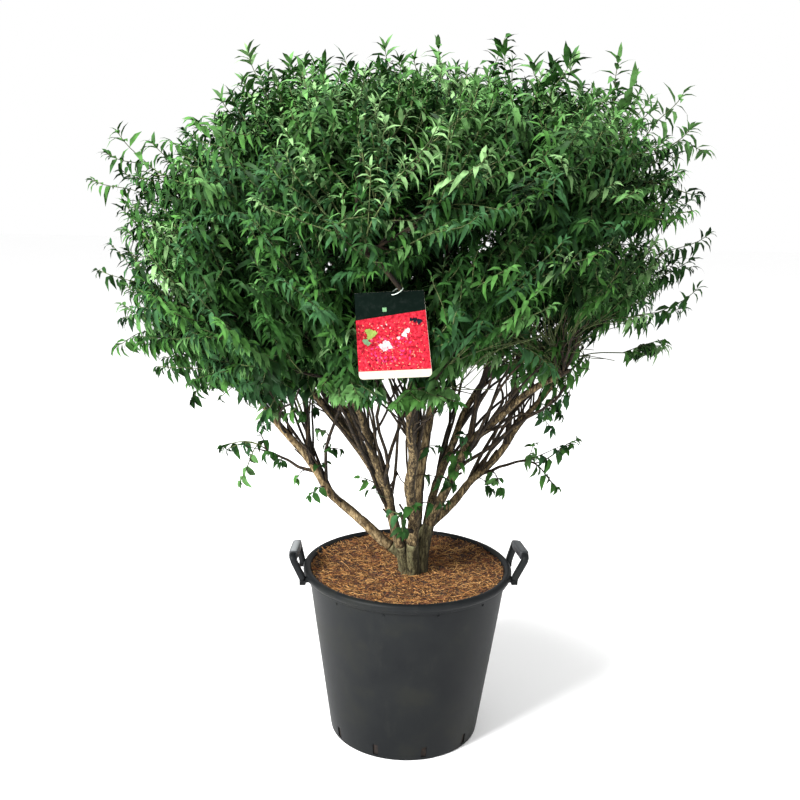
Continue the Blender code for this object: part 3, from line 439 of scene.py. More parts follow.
MASSES = (
    Mass("foliage_left", "bough_left_low", 187, 0.46, 1.08),
    Mass("foliage_left_front", "bough_left_front", 214, 0.46, 1.08),
    Mass("foliage_front_left", "bough_front_left", 244, 0.45, 1.07),
    Mass("foliage_front", "bough_front", 283, 0.46, 1.07),
    Mass("foliage_right_front", "bough_right_front", 324, 0.46, 1.08),
    Mass("foliage_right", "bough_right_low", 5, 0.46, 1.08),
    Mass("foliage_right_back", "bough_right_back", 48, 0.46, 1.08),
    Mass("foliage_back", "bough_back", 97, 0.46, 1.08),
    Mass("foliage_left_back", "bough_left_back", 146, 0.46, 1.08),
    Mass("foliage_left_upper", "bough_left_upper", 183, 0.38, 1.37),
    Mass("foliage_left_front_upper", "bough_left_front_upper", 222, 0.36, 1.38),
    Mass("foliage_front_upper", "bough_front_upper", 262, 0.42, 1.35),
    Mass("foliage_right_front_upper", "bough_right_front_upper", 322, 0.38, 1.38),
    Mass("foliage_right_upper", "bough_right_upper", 12, 0.40, 1.38),
    Mass("foliage_back_upper", "bough_back_upper", 75, 0.38, 1.38),
    Mass("foliage_left_back_upper", "bough_left_back_upper", 132, 0.38, 1.38),
    Mass("foliage_top", "bough_centre", 130, 0.04, 1.42),
    Mass("foliage_inner", "bough_inner", 250, 0.13, 1.12),
    Mass("foliage_low_left", "bough_low_left_spray", 181, 0.415, 0.700, 0.085, 0.85),
    Mass("foliage_low_right", "bough_low_right_spray", 1, 0.325, 0.695, 0.080, 0.85),
    Mass("foliage_sucker", "bough_sucker", 259, 0.166, 0.605, 0.046, 0.80),
)

# Leaf tones by name: colour on screen, and the share of shoots that take it
LEAF_TONES = {
    "leaves_deep": ((15, 34, 13), 0.12),
    "leaves_dark": ((25, 50, 20), 0.20),
    "leaves_mid": ((35, 66, 27), 0.24),
    "leaves_cool": ((36, 66, 37), 0.16),
    "leaves_fresh": ((46, 80, 33), 0.16),
    "leaves_light": ((63, 96, 51), 0.08),
    "leaves_tip": ((88, 117, 74), 0.04),
}


# Points and paths

def heading(azimuth, lean):
    """Unit vector that leans from the vertical by lean, towards azimuth, both in degrees."""
    around, down = math.radians(azimuth), math.radians(lean)
    return np.array([math.cos(around) * math.sin(down), math.sin(around) * math.sin(down), math.cos(down)])


def unit(vector):
    return vector / np.linalg.norm(vector)


def units(vectors):
    """Each row at unit length."""
    return vectors / np.maximum(np.linalg.norm(vectors, axis=-1, keepdims=True), 1e-9)


def from_trunk(azimuth, reach, height):
    """Point at a horizontal distance from the trunk's axis."""
    around = math.radians(azimuth)
    return np.array([TRUNK_X + reach * math.cos(around), reach * math.sin(around), height])


def bezier(start, first, last, end, count):
    """Points along a curve that leaves start along first and arrives at end along last."""
    span = np.linalg.norm(end - start) * BEZIER_REACH
    handle_a = start + first * span
    handle_b = end - last * span
    share = np.linspace(0.0, 1.0, count)[:, None]
    rest = 1.0 - share
    return rest**3 * start + 3 * rest**2 * share * handle_a + 3 * rest * share**2 * handle_b + share**3 * end


def lengths(points):
    """Running length along a path."""
    steps = np.linalg.norm(np.diff(points, axis=0), axis=1)
    return np.concatenate([[0.0], np.cumsum(steps)])


def along(points, distance):
    """Point and direction at a distance along a path."""
    run = lengths(points)
    index = int(np.clip(np.searchsorted(run, distance) - 1, 0, len(points) - 2))
    share = (distance - run[index]) / (run[index + 1] - run[index])
    place = points[index] + (points[index + 1] - points[index]) * share
    return place, unit(points[index + 1] - points[index])


def spread_directions(count):
    """Directions spread evenly over a sphere."""
    turn = math.pi * (3.0 - math.sqrt(5.0))
    directions = []
    for index in range(count):
        up = 1.0 - 2.0 * (index + 0.5) / count
        flat = math.sqrt(1.0 - up * up)
        directions.append(np.array([flat * math.cos(turn * index), flat * math.sin(turn * index), up]))
    return directions


# Meshes from arrays

class Heap:
    """Points and faces of many small shapes that become one mesh."""

    def __init__(self):
        self.points = []
        self.faces = {}
        self.count = 0

    def add(self, points, *face_sets):
        for faces in face_sets:
            faces = np.asarray(faces)
            self.faces.setdefault(faces.shape[1], []).append(faces + self.count)
        self.points.append(points)
        self.count += len(points)

    def triangles(self):
        return sum((size - 2) * len(faces) for size, sets in self.faces.items() for faces in sets)

    def mesh(self, name, smooth=True):
        points = np.vstack(self.points).astype(np.float32)
        corners, starts, total = [], [], 0
        for size, sets in sorted(self.faces.items()):
            faces = np.vstack(sets)
            corners.append(faces.ravel())
            starts.append(total + np.arange(len(faces)) * size)
            total += faces.size
        starts = np.concatenate(starts)
        mesh = bpy.data.meshes.new(name)
        mesh.vertices.add(len(points))
        mesh.vertices.foreach_set("co", points.ravel())
        mesh.loops.add(total)
        mesh.loops.foreach_set("vertex_index", np.concatenate(corners).astype(np.int32))
        mesh.polygons.add(len(starts))
        mesh.polygons.foreach_set("loop_start", starts.astype(np.int32))
        mesh.polygons.foreach_set("use_smooth", np.full(len(starts), smooth))
        mesh.update(calc_edges=True)
        mesh.validate()
        return mesh


def add_object(name, mesh, material=None):
    item = bpy.data.objects.new(name, mesh)
    bpy.context.scene.collection.objects.link(item)
    if material is not None:
        mesh.materials.clear()
        mesh.materials.append(material)
    return item


def dress(item, slot, *nodes):
    """The piece rides on the plant's one body and stands for the given solids."""
    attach(item, BODY)
    if nodes:
        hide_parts(*nodes)
    return item


def path_frames(points):
    """Two unit vectors across the path at each point, turned as little as can be."""
    ways = units(np.gradient(points, axis=0))
    side = np.cross(ways[0], (0.0, 0.0, 1.0))
    if np.linalg.norm(side) < 0.2:
        side = np.cross(ways[0], (1.0, 0.0, 0.0))
    sides = np.zeros_like(points)
    for index, way in enumerate(ways):
        side = unit(side - way * (side @ way))
        sides[index] = side
    return sides, np.cross(ways, sides)


def ring_faces(rings, sides):
    """Quads between rings of points, facing outward."""
    ring, step = np.meshgrid(np.arange(rings - 1), np.arange(sides), indexing="ij")
    first = ring * sides + step
    second = ring * sides + (step + 1) % sides
    return np.stack([first, second, second + sides, first + sides], axis=-1).reshape(-1, 4)


def add_tube(heap, points, radii, sides):
    """A closed tapering tube with a flat cap at each end."""
    side, up = path_frames(points)
    angles = np.arange(sides) * 2 * math.pi / sides
    across = np.cos(angles)[None, :, None] * side[:, None] + np.sin(angles)[None, :, None] * up[:, None]
    rings = points[:, None] + across * np.asarray(radii)[:, None, None]
    first_cap = np.arange(sides)[::-1][None]
    last_cap = (len(points) - 1) * sides + np.arange(sides)[None]
    heap.add(rings.reshape(-1, 3), ring_faces(len(points), sides), first_cap, last_cap)


# Materials

def screen(red, green, blue):
    """Linear colour of a colour given as it shows on screen, 0 to 255."""
    values = np.array([red, green, blue]) / 255.0
    return tuple(np.where(values <= 0.04045, values / 12.92, ((values + 0.055) / 1.055) ** 2.4).tolist())


def new_material(name, colour, roughness):
    """A Principled material with a Base Color and Roughness, and its node tree."""
    material = bpy.data.materials.new(name)
    material.use_nodes = True
    shader = material.node_tree.nodes["Principled BSDF"]
    shader.inputs["Base Color"].default_value = (*colour, 1.0)
    shader.inputs["Roughness"].default_value = roughness
    return material, material.node_tree, shader


def noise_node(tree, scale, detail=4.0, roughness=0.55, stretch=(1.0, 1.0, 1.0)):
    """Noise over the object's own coordinates."""
    place = tree.nodes.new("ShaderNodeTexCoord")
    mapping = tree.nodes.new("ShaderNodeMapping")
    mapping.inputs["Scale"].default_value = stretch
    texture = tree.nodes.new("ShaderNodeTexNoise")
    texture.inputs["Scale"].default_value = scale
    texture.inputs["Detail"].default_value = detail
    texture.inputs["Roughness"].default_value = roughness
    tree.links.new(place.outputs["Object"], mapping.inputs["Vector"])
    tree.links.new(mapping.outputs["Vector"], texture.inputs["Vector"])
    return texture


def colour_ramp(tree, source, stops):
    """A colour ramp over a value: stops are (position, linear colour)."""
    ramp = tree.nodes.new("ShaderNodeValToRGB")
    elements = ramp.color_ramp.elements
    while len(elements) < len(stops):
        elements.new(0.5)
    for element, (position, colour) in zip(elements, stops):
        element.position = position
        element.color = (*colour, 1.0)
    tree.links.new(source, ramp.inputs["Fac"])
    return ramp


def mix_colour(tree, factor, first, second, blend="MIX"):
    """Mix of two colour sockets or colours by a value socket."""
    mix = tree.nodes.new("ShaderNodeMix")
    mix.data_type = "RGBA"
    mix.blend_type = blend
    colours = [socket for socket in mix.inputs if socket.type == "RGBA"]
    for socket, value in zip(colours, (first, second)):
        if isinstance(value, bpy.types.NodeSocket):
            tree.links.new(value, socket)
        else:
            socket.default_value = (*value, 1.0)
    if isinstance(factor, bpy.types.NodeSocket):
        tree.links.new(factor, mix.inputs["Factor"])
    else:
        mix.inputs["Factor"].default_value = factor
    return [socket for socket in mix.outputs if socket.type == "RGBA"][0]


def add_bump(tree, shader, height, distance, strength=1.0):
    bump = tree.nodes.new("ShaderNodeBump")
    bump.inputs["Distance"].default_value = distance
    bump.inputs["Strength"].default_value = strength
    tree.links.new(height, bump.inputs["Height"])
    tree.links.new(bump.outputs["Normal"], shader.inputs["Normal"])


def pot_material():
    """Charcoal plastic, dusty in places, with a fine moulded grain and rubbed streaks."""
    material, tree, shader = new_material("pot_plastic", screen(21, 23, 24), 0.5)
    shader.inputs["Specular IOR Level"].default_value = 0.09
    dust = noise_node(tree, 9.0, 6.0, 0.6)
    scuffs = noise_node(tree, 22.0, 8.0, 0.7, (1.0, 1.0, 0.35))
    tone = colour_ramp(tree, dust.outputs["Fac"], (
        (0.30, screen(15, 17, 19)), (0.52, screen(20, 22, 23)), (0.72, screen(28, 29, 26)),
    ))
    marks = colour_ramp(tree, scuffs.outputs["Fac"], ((0.56, (0.0,) * 3), (0.75, (0.35,) * 3)))
    base = mix_colour(tree, marks.outputs["Color"], tone.outputs["Color"], screen(38, 39, 36))
    tree.links.new(base, shader.inputs["Base Color"])
    rough = tree.nodes.new("ShaderNodeMapRange")
    rough.inputs["To Min"].default_value = 0.38
    rough.inputs["To Max"].default_value = 0.60
    tree.links.new(dust.outputs["Fac"], rough.inputs["Value"])
    tree.links.new(rough.outputs["Result"], shader.inputs["Roughness"])
    grain = noise_node(tree, 700.0, 3.0)
    add_bump(tree, shader, grain.outputs["Fac"], 0.00025, 0.6)
    return material


def grip_material(name, painted_top_highlight):
    """Sleeve of a handle, with a painted highlight that makes its top paler by the given share."""
    material, tree, shader = new_material(name, screen(40, 42, 44), 0.5)
    shader.inputs["Specular IOR Level"].default_value = 0.3
    wear = noise_node(tree, 60.0, 6.0, 0.65)
    tone = colour_ramp(tree, wear.outputs["Fac"], (
        (0.35, screen(30, 32, 34)), (0.58, screen(44, 46, 48)), (0.75, screen(84, 86, 88)),
    ))
    # Painted highlight: faces that turn straight up are mixed towards pale grey, by the given share.
    shape = tree.nodes.new("ShaderNodeNewGeometry")
    parts = tree.nodes.new("ShaderNodeSeparateXYZ")
    tree.links.new(shape.outputs["Normal"], parts.inputs["Vector"])
    mask = colour_ramp(tree, parts.outputs["Z"], ((0.80, (0.0,) * 3), (0.99, (painted_top_highlight,) * 3)))
    base = mix_colour(tree, mask.outputs["Color"], tone.outputs["Color"], screen(168, 172, 174))
    tree.links.new(base, shader.inputs["Base Color"])
    grain = noise_node(tree, 420.0, 3.0)
    add_bump(tree, shader, grain.outputs["Fac"], 0.0003, 0.6)
    return material


def medium_material():
    """Moist coir pith between the fibres, darkened towards the bottom of the pot by painted shade."""
    material, tree, shader = new_material("coir_pith", screen(50, 30, 15), 0.95)
    grain = noise_node(tree, 160.0, 8.0, 0.7)
    tone = colour_ramp(tree, grain.outputs["Fac"], (
        (0.38, screen(16, 9, 5)), (0.52, screen(54, 32, 17)), (0.66, screen(100, 66, 34)),
    ))
    # Painted shade: below about 0.36 m the pith is mixed towards near-black, most strongly below 0.10 m.
    place = tree.nodes.new("ShaderNodeTexCoord")
    parts = tree.nodes.new("ShaderNodeSeparateXYZ")
    tree.links.new(place.outputs["Object"], parts.inputs["Vector"])
    low = colour_ramp(tree, parts.outputs["Z"], ((0.10, (0.85,) * 3), (0.36, (0.0,) * 3)))
    base = mix_colour(tree, low.outputs["Color"], tone.outputs["Color"], screen(14, 9, 6))
    tree.links.new(base, shader.inputs["Base Color"])
    add_bump(tree, shader, grain.outputs["Fac"], 0.002)
    return material


def fibre_material(name, colour):
    material, tree, shader = new_material(name, colour, 0.85)
    grain = noise_node(tree, 240.0, 3.0)
    darker = tuple(0.55 * value for value in colour)
    lighter = tuple(min(1.0, 1.35 * value) for value in colour)
    tone = colour_ramp(tree, grain.outputs["Fac"], ((0.32, darker), (0.68, lighter)))
    tree.links.new(tone.outputs["Color"], shader.inputs["Base Color"])
    return material


def bark_material(name, dark, middle, light, patch, patch_share, flecked=0.75, run=0.17):
    """Bark: dark furrows, tan ridges, patches of lichen or flaked cream bark, dark hollows in the bump that are partly
    the bark's own colour and partly painted shade, and painted shade on the side that faces +X.
    """
    material, tree, shader = new_material(name, middle, 0.85)
    shader.inputs["Specular IOR Level"].default_value = 0.2
    grain = noise_node(tree, 150.0, 9.0, 0.75, (1.0, 1.0, run))
    tone = colour_ramp(tree, grain.outputs["Fac"], ((0.38, dark), (0.50, middle), (0.62, light)))
    patches = noise_node(tree, 60.0, 8.0, 0.70, (1.0, 1.0, run * 1.6))
    start = 0.68 - 0.20 * patch_share
    mask = colour_ramp(tree, patches.outputs["Fac"], ((start, (0.0,) * 3), (start + 0.10, (0.7,) * 3)))
    base = mix_colour(tree, mask.outputs["Color"], tone.outputs["Color"], patch)
    fine = noise_node(tree, 300.0, 8.0, 0.8, (1.0, 1.0, run * 1.3))
    flecks = colour_ramp(tree, fine.outputs["Fac"], ((0.53, (0.0,) * 3), (0.63, (flecked,) * 3)))
    # Dark bark with painted shade: where the bump is lowest the colour is mixed towards the dark colour.
    cracks_and_shade = colour_ramp(tree, fine.outputs["Fac"], ((0.37, (0.9,) * 3), (0.47, (0.0,) * 3)))
    base = mix_colour(tree, flecks.outputs["Color"], base, light)
    base = mix_colour(tree, cracks_and_shade.outputs["Color"], base, dark)
    # Painted shade: the side of each limb that faces +X is mixed towards the dark colour.
    shape = tree.nodes.new("ShaderNodeNewGeometry")
    parts = tree.nodes.new("ShaderNodeSeparateXYZ")
    tree.links.new(shape.outputs["Normal"], parts.inputs["Vector"])
    away = colour_ramp(tree, parts.outputs["X"], ((0.04, (0.0,) * 3), (0.75, (0.78,) * 3)))
    base = mix_colour(tree, away.outputs["Color"], base, dark)
    tree.links.new(base, shader.inputs["Base Color"])
    add_bump(tree, shader, fine.outputs["Fac"], 0.0022)
    return material


def leaf_material(name, colour):
    """Leaf green with slight mottling and a soft gloss."""
    material, tree, shader = new_material(name, colour, 0.55)
    shader.inputs["Specular IOR Level"].default_value = 0.05
    mottle = noise_node(tree, 42.0, 3.0)
    darker = tuple(0.60 * value for value in colour)
    lighter = tuple(1.45 * value for value in colour)
    tone = colour_ramp(tree, mottle.outputs["Fac"], ((0.34, darker), (0.66, lighter)))
    tree.links.new(tone.outputs["Color"], shader.inputs["Base Color"])
    veins = noise_node(tree, 300.0, 2.0)
    add_bump(tree, shader, veins.outputs["Fac"], 0.0003, 0.3)
    return material


def card_material(name, colour, mottled=0.0, scale=90.0):
    """Printed card under a thin film, with finely mottled ink."""
    material, tree, shader = new_material(name, colour, 0.55)
    shader.inputs["Specular IOR Level"].default_value = 0.03
    spots = noise_node(tree, scale, 5.0, 0.75)
    darker = tuple((1.0 - mottled) * value for value in colour)
    lighter = tuple(min(1.0, (1.0 + 0.6 * mottled) * value + 0.03 * mottled) for value in colour)
    tone = colour_ramp(tree, spots.outputs["Fac"], ((0.38, darker), (0.52, colour), (0.66, lighter)))
    tree.links.new(tone.outputs["Color"], shader.inputs["Base Color"])
    grain = noise_node(tree, 500.0, 2.0)
    add_bump(tree, shader, grain.outputs["Fac"], 0.0001, 0.4)
    return material


# Camera, light and floor

def make_camera():
    data = bpy.data.cameras.new("camera")
    data.sensor_width = SENSOR
    data.lens = FOCAL_PIXELS / PHOTO_PIXELS * SENSOR
    camera = bpy.data.objects.new("camera", data)
    bpy.context.scene.collection.objects.link(camera)
    tilt = Matrix.Rotation(math.radians(90.0 - CAMERA_DOWN), 4, "X")
    roll = Matrix.Rotation(math.radians(CAMERA_ROLL), 4, "Z")
    camera.matrix_world = Matrix.Translation(CAMERA_PLACE) @ tilt @ roll
    bpy.context.scene.camera = camera
    bpy.context.scene.view_settings.view_transform = "Standard"


def area_light(name, place, target, size, power):
    data = bpy.data.lights.new(name, "AREA")
    data.shape = "DISK"
    data.size = size
    data.energy = power
    light = bpy.data.objects.new(name, data)
    bpy.context.scene.collection.objects.link(light)
    light.location = place
    way = Vector(target) - Vector(place)
    light.rotation_mode = "QUATERNION"
    light.rotation_quaternion = way.to_track_quat("-Z", "Y")


def make_studio():
    world = bpy.data.worlds.new("studio")
    world.use_nodes = True
    background = world.node_tree.nodes["Background"]
    background.inputs["Color"].default_value = (1.0, 1.0, 1.0, 1.0)
    background.inputs["Strength"].default_value = 1.0
    bpy.context.scene.world = world
    area_light("key", (-2.3, -2.4, 2.6), (0.0, 0.0, 1.0), 1.2, 360.0)
    area_light("top", (-0.2, -0.3, 3.8), (0.0, 0.0, 1.4), 1.8, 210.0)
    area_light("fill", (2.3, -2.4, 1.5), (0.0, 0.0, 0.8), 1.8, 26.0)
    bpy.ops.mesh.primitive_plane_add(size=40.0, location=(0.0, 0.0, -0.0005))
    floor = bpy.context.object
    floor.name = "studio_floor"
    material, _, _ = new_material("floor_paper", (0.98, 0.98, 0.98), 0.9)
    floor.data.materials.append(material)


# Pot

def wall_radius(height):
    """Outer radius of the pot wall at a height."""
    share = height / (RIM_TOP - RIM_LIP)
    return BASE_RADIUS + (WALL_TOP_RADIUS - BASE_RADIUS) * share


def pot_profile():
    """Half section of the pot, from the middle of its floor inside to its middle underneath."""
    lip = RIM_TOP - RIM_LIP
    profile = [(0.0, FLOOR), (wall_radius(FLOOR) - WALL, FLOOR), (wall_radius(lip) - WALL, lip)]
    profile += [(RIM_INNER_RADIUS + 0.0006, RIM_TOP - 0.009)]
    bead_middle, bead_radius = (RIM_RADIUS - 0.0098, RIM_TOP - 0.0092), 0.0092
    for degrees in range(165, -61, -15):
        angle = math.radians(degrees)
        across = bead_radius * (1.0 if degrees > 90 else 1.06)
        profile.append((bead_middle[0] + across * math.cos(angle), bead_middle[1] + bead_radius * math.sin(angle)))
    profile += [
        (RIM_RADIUS - 0.0062, RIM_TOP - 0.0192),
        (RIM_RADIUS - 0.0068, lip + 0.0012),
        (RIM_RADIUS - 0.0080, lip + 0.0002),
        (wall_radius(lip) + 0.0016, lip),
        (wall_radius(lip - 0.0015), lip - 0.0015),
        (wall_radius(lip - 0.006), lip - 0.006),
    ]
    profile += [(wall_radius(height), height) for height in np.linspace(lip - 0.02, 0.012, 8)]
    for degrees in range(0, 91, 18):
        angle = math.radians(degrees)
        profile.append((BASE_RADIUS - BASE_ROUND * (1 - math.cos(angle)), BASE_ROUND * (1 - math.sin(angle))))
    profile += [(BASE_RADIUS * 0.93, 0.0), (BASE_RADIUS * 0.90, 0.0015), (0.0, 0.0015)]
    return profile


def evaluated_mesh(item):
    """A new mesh of the object with its modifiers applied."""
    bpy.context.view_layer.update()
    graph = bpy.context.evaluated_depsgraph_get()
    return bpy.data.meshes.new_from_object(item.evaluated_get(graph))


def turned_mesh(name, profile, steps):
    """A solid of revolution from a profile of (radius, height) points."""
    mesh = bpy.data.meshes.new(name)
    points = [(radius, 0.0, height) for radius, height in profile]
    mesh.from_pydata(points, [(index, index + 1) for index in range(len(points) - 1)], [])
    item = add_object(name + "_guide", mesh)
    screw = item.modifiers.new("turn", "SCREW")
    screw.steps = steps
    screw.render_steps = steps
    screw.use_merge_vertices = True
    screw.merge_threshold = 0.00005
    made = evaluated_mesh(item)
    bpy.data.objects.remove(item)
    return made


def pot_slots():
    """One mesh of boxes, as the drain slots are cut round the foot."""
    work = bmesh.new()
    middle = (SLOT_BOTTOM + SLOT_TOP) / 2
    for index in range(SLOT_COUNT):
        azimuth = math.radians(SLOT_FIRST_AZIMUTH + index * 360.0 / SLOT_COUNT)
        radius = wall_radius(middle) + WALL
        turn = Matrix.Rotation(azimuth, 4, "Z")
        size = Matrix.Diagonal((SLOT_DEPTH, SLOT_WIDTH, SLOT_TOP - SLOT_BOTTOM, 1.0))
        place = turn @ Matrix.Translation((radius, 0.0, middle)) @ size
        bmesh.ops.create_cube(work, size=1.0, matrix=place)
    mesh = bpy.data.meshes.new("slots")
    work.to_mesh(mesh)
    work.free()
    return mesh


def make_pot(material):
    pot = add_object("pot_shell", turned_mesh("pot_shell", pot_profile(), POT_STEPS))
    cutter = add_object("slots", pot_slots())
    cut = pot.modifiers.new("slots", "BOOLEAN")
    cut.operation = "DIFFERENCE"
    cut.object = cutter
    mesh = evaluated_mesh(pot)
    bpy.data.objects.remove(pot)
    bpy.data.objects.remove(cutter)
    mesh.shade_smooth()
    mesh.set_sharp_from_angle(angle=math.radians(38))
    return dress(add_object("pot_body", mesh, material), "pot", "pot")


def make_nubs(material):
    """Small moulding nubs under the rim, on the outside of the wall."""
    heap = Heap()
    for index in range(12):
        azimuth = math.radians(17.0 + 30.0 * index)
        height = RIM_TOP - RIM_LIP - 0.010
        out = np.array([math.cos(azimuth), math.sin(azimuth), 0.0])
        start = out * (wall_radius(height) - 0.001) + np.array([0.0, 0.0, height])
        points = np.array([start, start + out * 0.0022, start + out * 0.0029])
        add_tube(heap, points, [0.0030, 0.0028, 0.0016], 12)
    return dress(add_object("pot_nubs", heap.mesh("pot_nubs"), material), "pot")


def add_strap(heap, points, outs, widths, thicks):
    """A strap with rounded edges along the points; outs are the directions of its thin side."""
    corners = []
    for degrees in range(0, 360, 30):
        angle = math.radians(degrees)
        wide, thin = math.cos(angle), math.sin(angle)
        corners.append((math.copysign(abs(wide) ** 0.45, wide), math.copysign(abs(thin) ** 0.45, thin)))
    ways = units(np.gradient(points, axis=0))
    rings = []
    for place, way, out, width, thick in zip(points, ways, outs, widths, thicks):
        thin = unit(out - way * (out @ way))
        wide = np.cross(thin, way)
        rings.append([place + wide * a * width / 2 + thin * b * thick / 2 for a, b in corners])
    sides = len(corners)
    first_cap = np.arange(sides)[::-1][None]
    last_cap = (len(points) - 1) * sides + np.arange(sides)[None]
    heap.add(np.array(rings).reshape(-1, 3), ring_faces(len(points), sides), first_cap, last_cap)


def handle_tops(near):
    """Upper corners of a handle by side: the one towards the front is pulled out and forward."""
    tops = {}
    for side in (-1.0, 1.0):
        out = HANDLE_TOP_OUT - HANDLE_SKEW + HANDLE_SKEW * side * near
        tops[side] = np.array([out, HANDLE_TOP_HALF * side + HANDLE_SHIFT * near, HANDLE_TOP_Z])
    return tops


def handle_half(tops, side):
    """Centre line from a handle's foot to its grip, with a rounded corner."""
    foot_radius = RIM_RADIUS * math.cos(math.pi / 36) + STRAP_THICK / 2 + 0.0012
    spread = math.radians(HANDLE_FOOT_SPREAD) * side
    foot_out, foot_half = foot_radius * math.cos(spread), foot_radius * math.sin(spread)
    top, corner = tops[side], 0.006
    bend = np.array([foot_out, foot_half, HANDLE_BEND_Z])
    leg_way = unit(top - bend)
    inward = unit(tops[-side] - top)
    return [
        np.array([foot_out, foot_half, HANDLE_FOOT_Z - 0.004]),
        np.array([foot_out, foot_half, HANDLE_FOOT_Z + 0.010]),
        bend - np.array([0.0, 0.0, 0.004]),
        bend + leg_way * 0.004,
        top - leg_way * corner * 2.2,
        top - leg_way * corner,
        top - leg_way * corner * 0.3 + inward * corner * 0.3,
        top + inward * corner,
        (top + tops[-side]) / 2 - inward * (GRIP_HALF - 0.002),
    ]


def add_lug(heap, turn, side):
    """Small block that ties a handle's foot to the rim."""
    spread = math.radians(HANDLE_FOOT_SPREAD) * side
    out = np.array([math.cos(spread), math.sin(spread), 0.0])
    foot = RIM_RADIUS + STRAP_THICK / 4
    points = [out * radius + np.array([0.0, 0.0, (HANDLE_FOOT_Z + LUG_TOP) / 2]) for radius in (LUG_INNER, foot)]
    up = turn @ np.array([0.0, 0.0, 1.0])
    add_strap(heap, np.array(points) @ turn.T, [up] * 2, [STRAP_WIDTH * 0.8] * 2, [LUG_TOP - HANDLE_FOOT_Z] * 2)


def make_handle(name, azimuth, plastic, grip):
    turn = np.array(Matrix.Rotation(math.radians(azimuth), 3, "Z"))
    tops = handle_tops(-1.0 if azimuth < 90.0 else 1.0)
    points = np.array(handle_half(tops, 1.0) + handle_half(tops, -1.0)[::-1]) @ turn.T
    out = turn @ np.array([1.0, 0.0, 0.0])
    heap = Heap()
    count = len(points)
    widths = np.full(count, STRAP_WIDTH)
    widths[[0, -1]] *= 0.8
    add_strap(heap, points, [out] * count, widths, np.full(count, STRAP_THICK))
    for side in (-1.0, 1.0):
        add_lug(heap, turn, side)
    dress(add_object(name + "_strap", heap.mesh(name + "_strap"), plastic), "pot", name)
    sleeve = Heap()
    ends = (-GRIP_HALF, -GRIP_HALF + 0.0012, -GRIP_HALF + 0.004, GRIP_HALF - 0.004, GRIP_HALF - 0.0012, GRIP_HALF)
    middle, along_bar = (tops[1.0] + tops[-1.0]) / 2, unit(tops[1.0] - tops[-1.0])
    line = np.array([turn @ (middle + along_bar * end) for end in ends])
    thick = GRIP_RADIUS * 2 * np.array([0.84, 0.97, 1.0, 1.0, 0.97, 0.84])
    add_strap(sleeve, line, [out] * len(ends), thick, thick * 0.94)
    dress(add_object(name + "_grip", sleeve.mesh(name + "_grip"), grip), "pot")


# Growing medium

def medium_height(across, deep):
    """Height of the medium at a place: dished to its edge, with lumps and two small holes."""
    radius = math.hypot(across, deep)
    edge = wall_radius(MEDIUM_TOP) - WALL
    lumps = noise.noise(Vector((across * 22.0, deep * 22.0, 3.0))) * 0.0035
    lumps += noise.noise(Vector((across * 70.0, deep * 70.0, 5.0))) * 0.0020
    rise = (MEDIUM_EDGE_RISE + EDGE_HEAP) * (radius / edge) ** 4
    lumps += MEDIUM_HEAP * math.exp(-((radius / MEDIUM_HEAP_SPREAD) ** 2))
    for middle_x, middle_y, wide in HOLES:
        away = math.hypot(across - middle_x, deep - middle_y) / wide
        lumps -= HOLE_DEPTH * math.exp(-(away**2) * 2.0)
    return MEDIUM_TOP + rise + lumps - 0.0025


def make_medium(material):
    """Pith surface from the trunk to the pot's wall, and down the wall to the pot's floor."""
    rings, sides = 34, 120
    edge = RIM_INNER_RADIUS - 2 * GAP
    points, faces = [], []
    for ring in range(rings + 1):
        radius = edge * ring / rings
        for step in range(sides):
            angle = 2 * math.pi * step / sides
            across, deep = radius * math.cos(angle), radius * math.sin(angle)
            rough = noise.noise(Vector((across * 130.0, deep * 130.0, 9.0))) * 0.0018
            points.append((across, deep, medium_height(across, deep) + rough))
    for step in range(sides):
        angle = 2 * math.pi * step / sides
        low = wall_radius(FLOOR) - WALL - GAP
        points.append((low * math.cos(angle), low * math.sin(angle), FLOOR + GAP))
    heap = Heap()
    heap.add(np.array(points), ring_faces(rings + 2, sides)[:, ::-1][:, [0, 1, 2, 3]])
    return dress(add_object("coir_pith", heap.mesh("coir_pith"), material), "medium", "growing_medium")


def scattered(rng, edge):
    """A random place over the medium."""
    radius = edge * math.sqrt(rng.random())
    angle = rng.uniform(0.0, 2 * math.pi)
    return radius * math.cos(angle), radius * math.sin(angle)


def fibre_line(rng, edge, length, count):
    """One bent fibre that lies on the medium, kept inside the pot."""
    across, deep = scattered(rng, edge)
    turn = rng.uniform(0.0, 2 * math.pi)
    curl = rng.gauss(0.0, 22.0) / count
    height = rng.uniform(0.0004, 0.0042)
    slope = rng.gauss(0.0, 0.22)
    points = []
    for step in range(count):
        points.append((across, deep, medium_height(across, deep) + height + slope * length * step / count))
        across += math.cos(turn) * length / (count - 1)
        deep += math.sin(turn) * length / (count - 1)
        turn += math.radians(curl * 8.0 + rng.gauss(0.0, 14.0))
    points = np.array(points)
    inside = np.minimum(1.0, edge / np.maximum(1e-6, np.linalg.norm(points[:, :2], axis=1)))
    points[:, :2] *= inside[:, None]
    return points


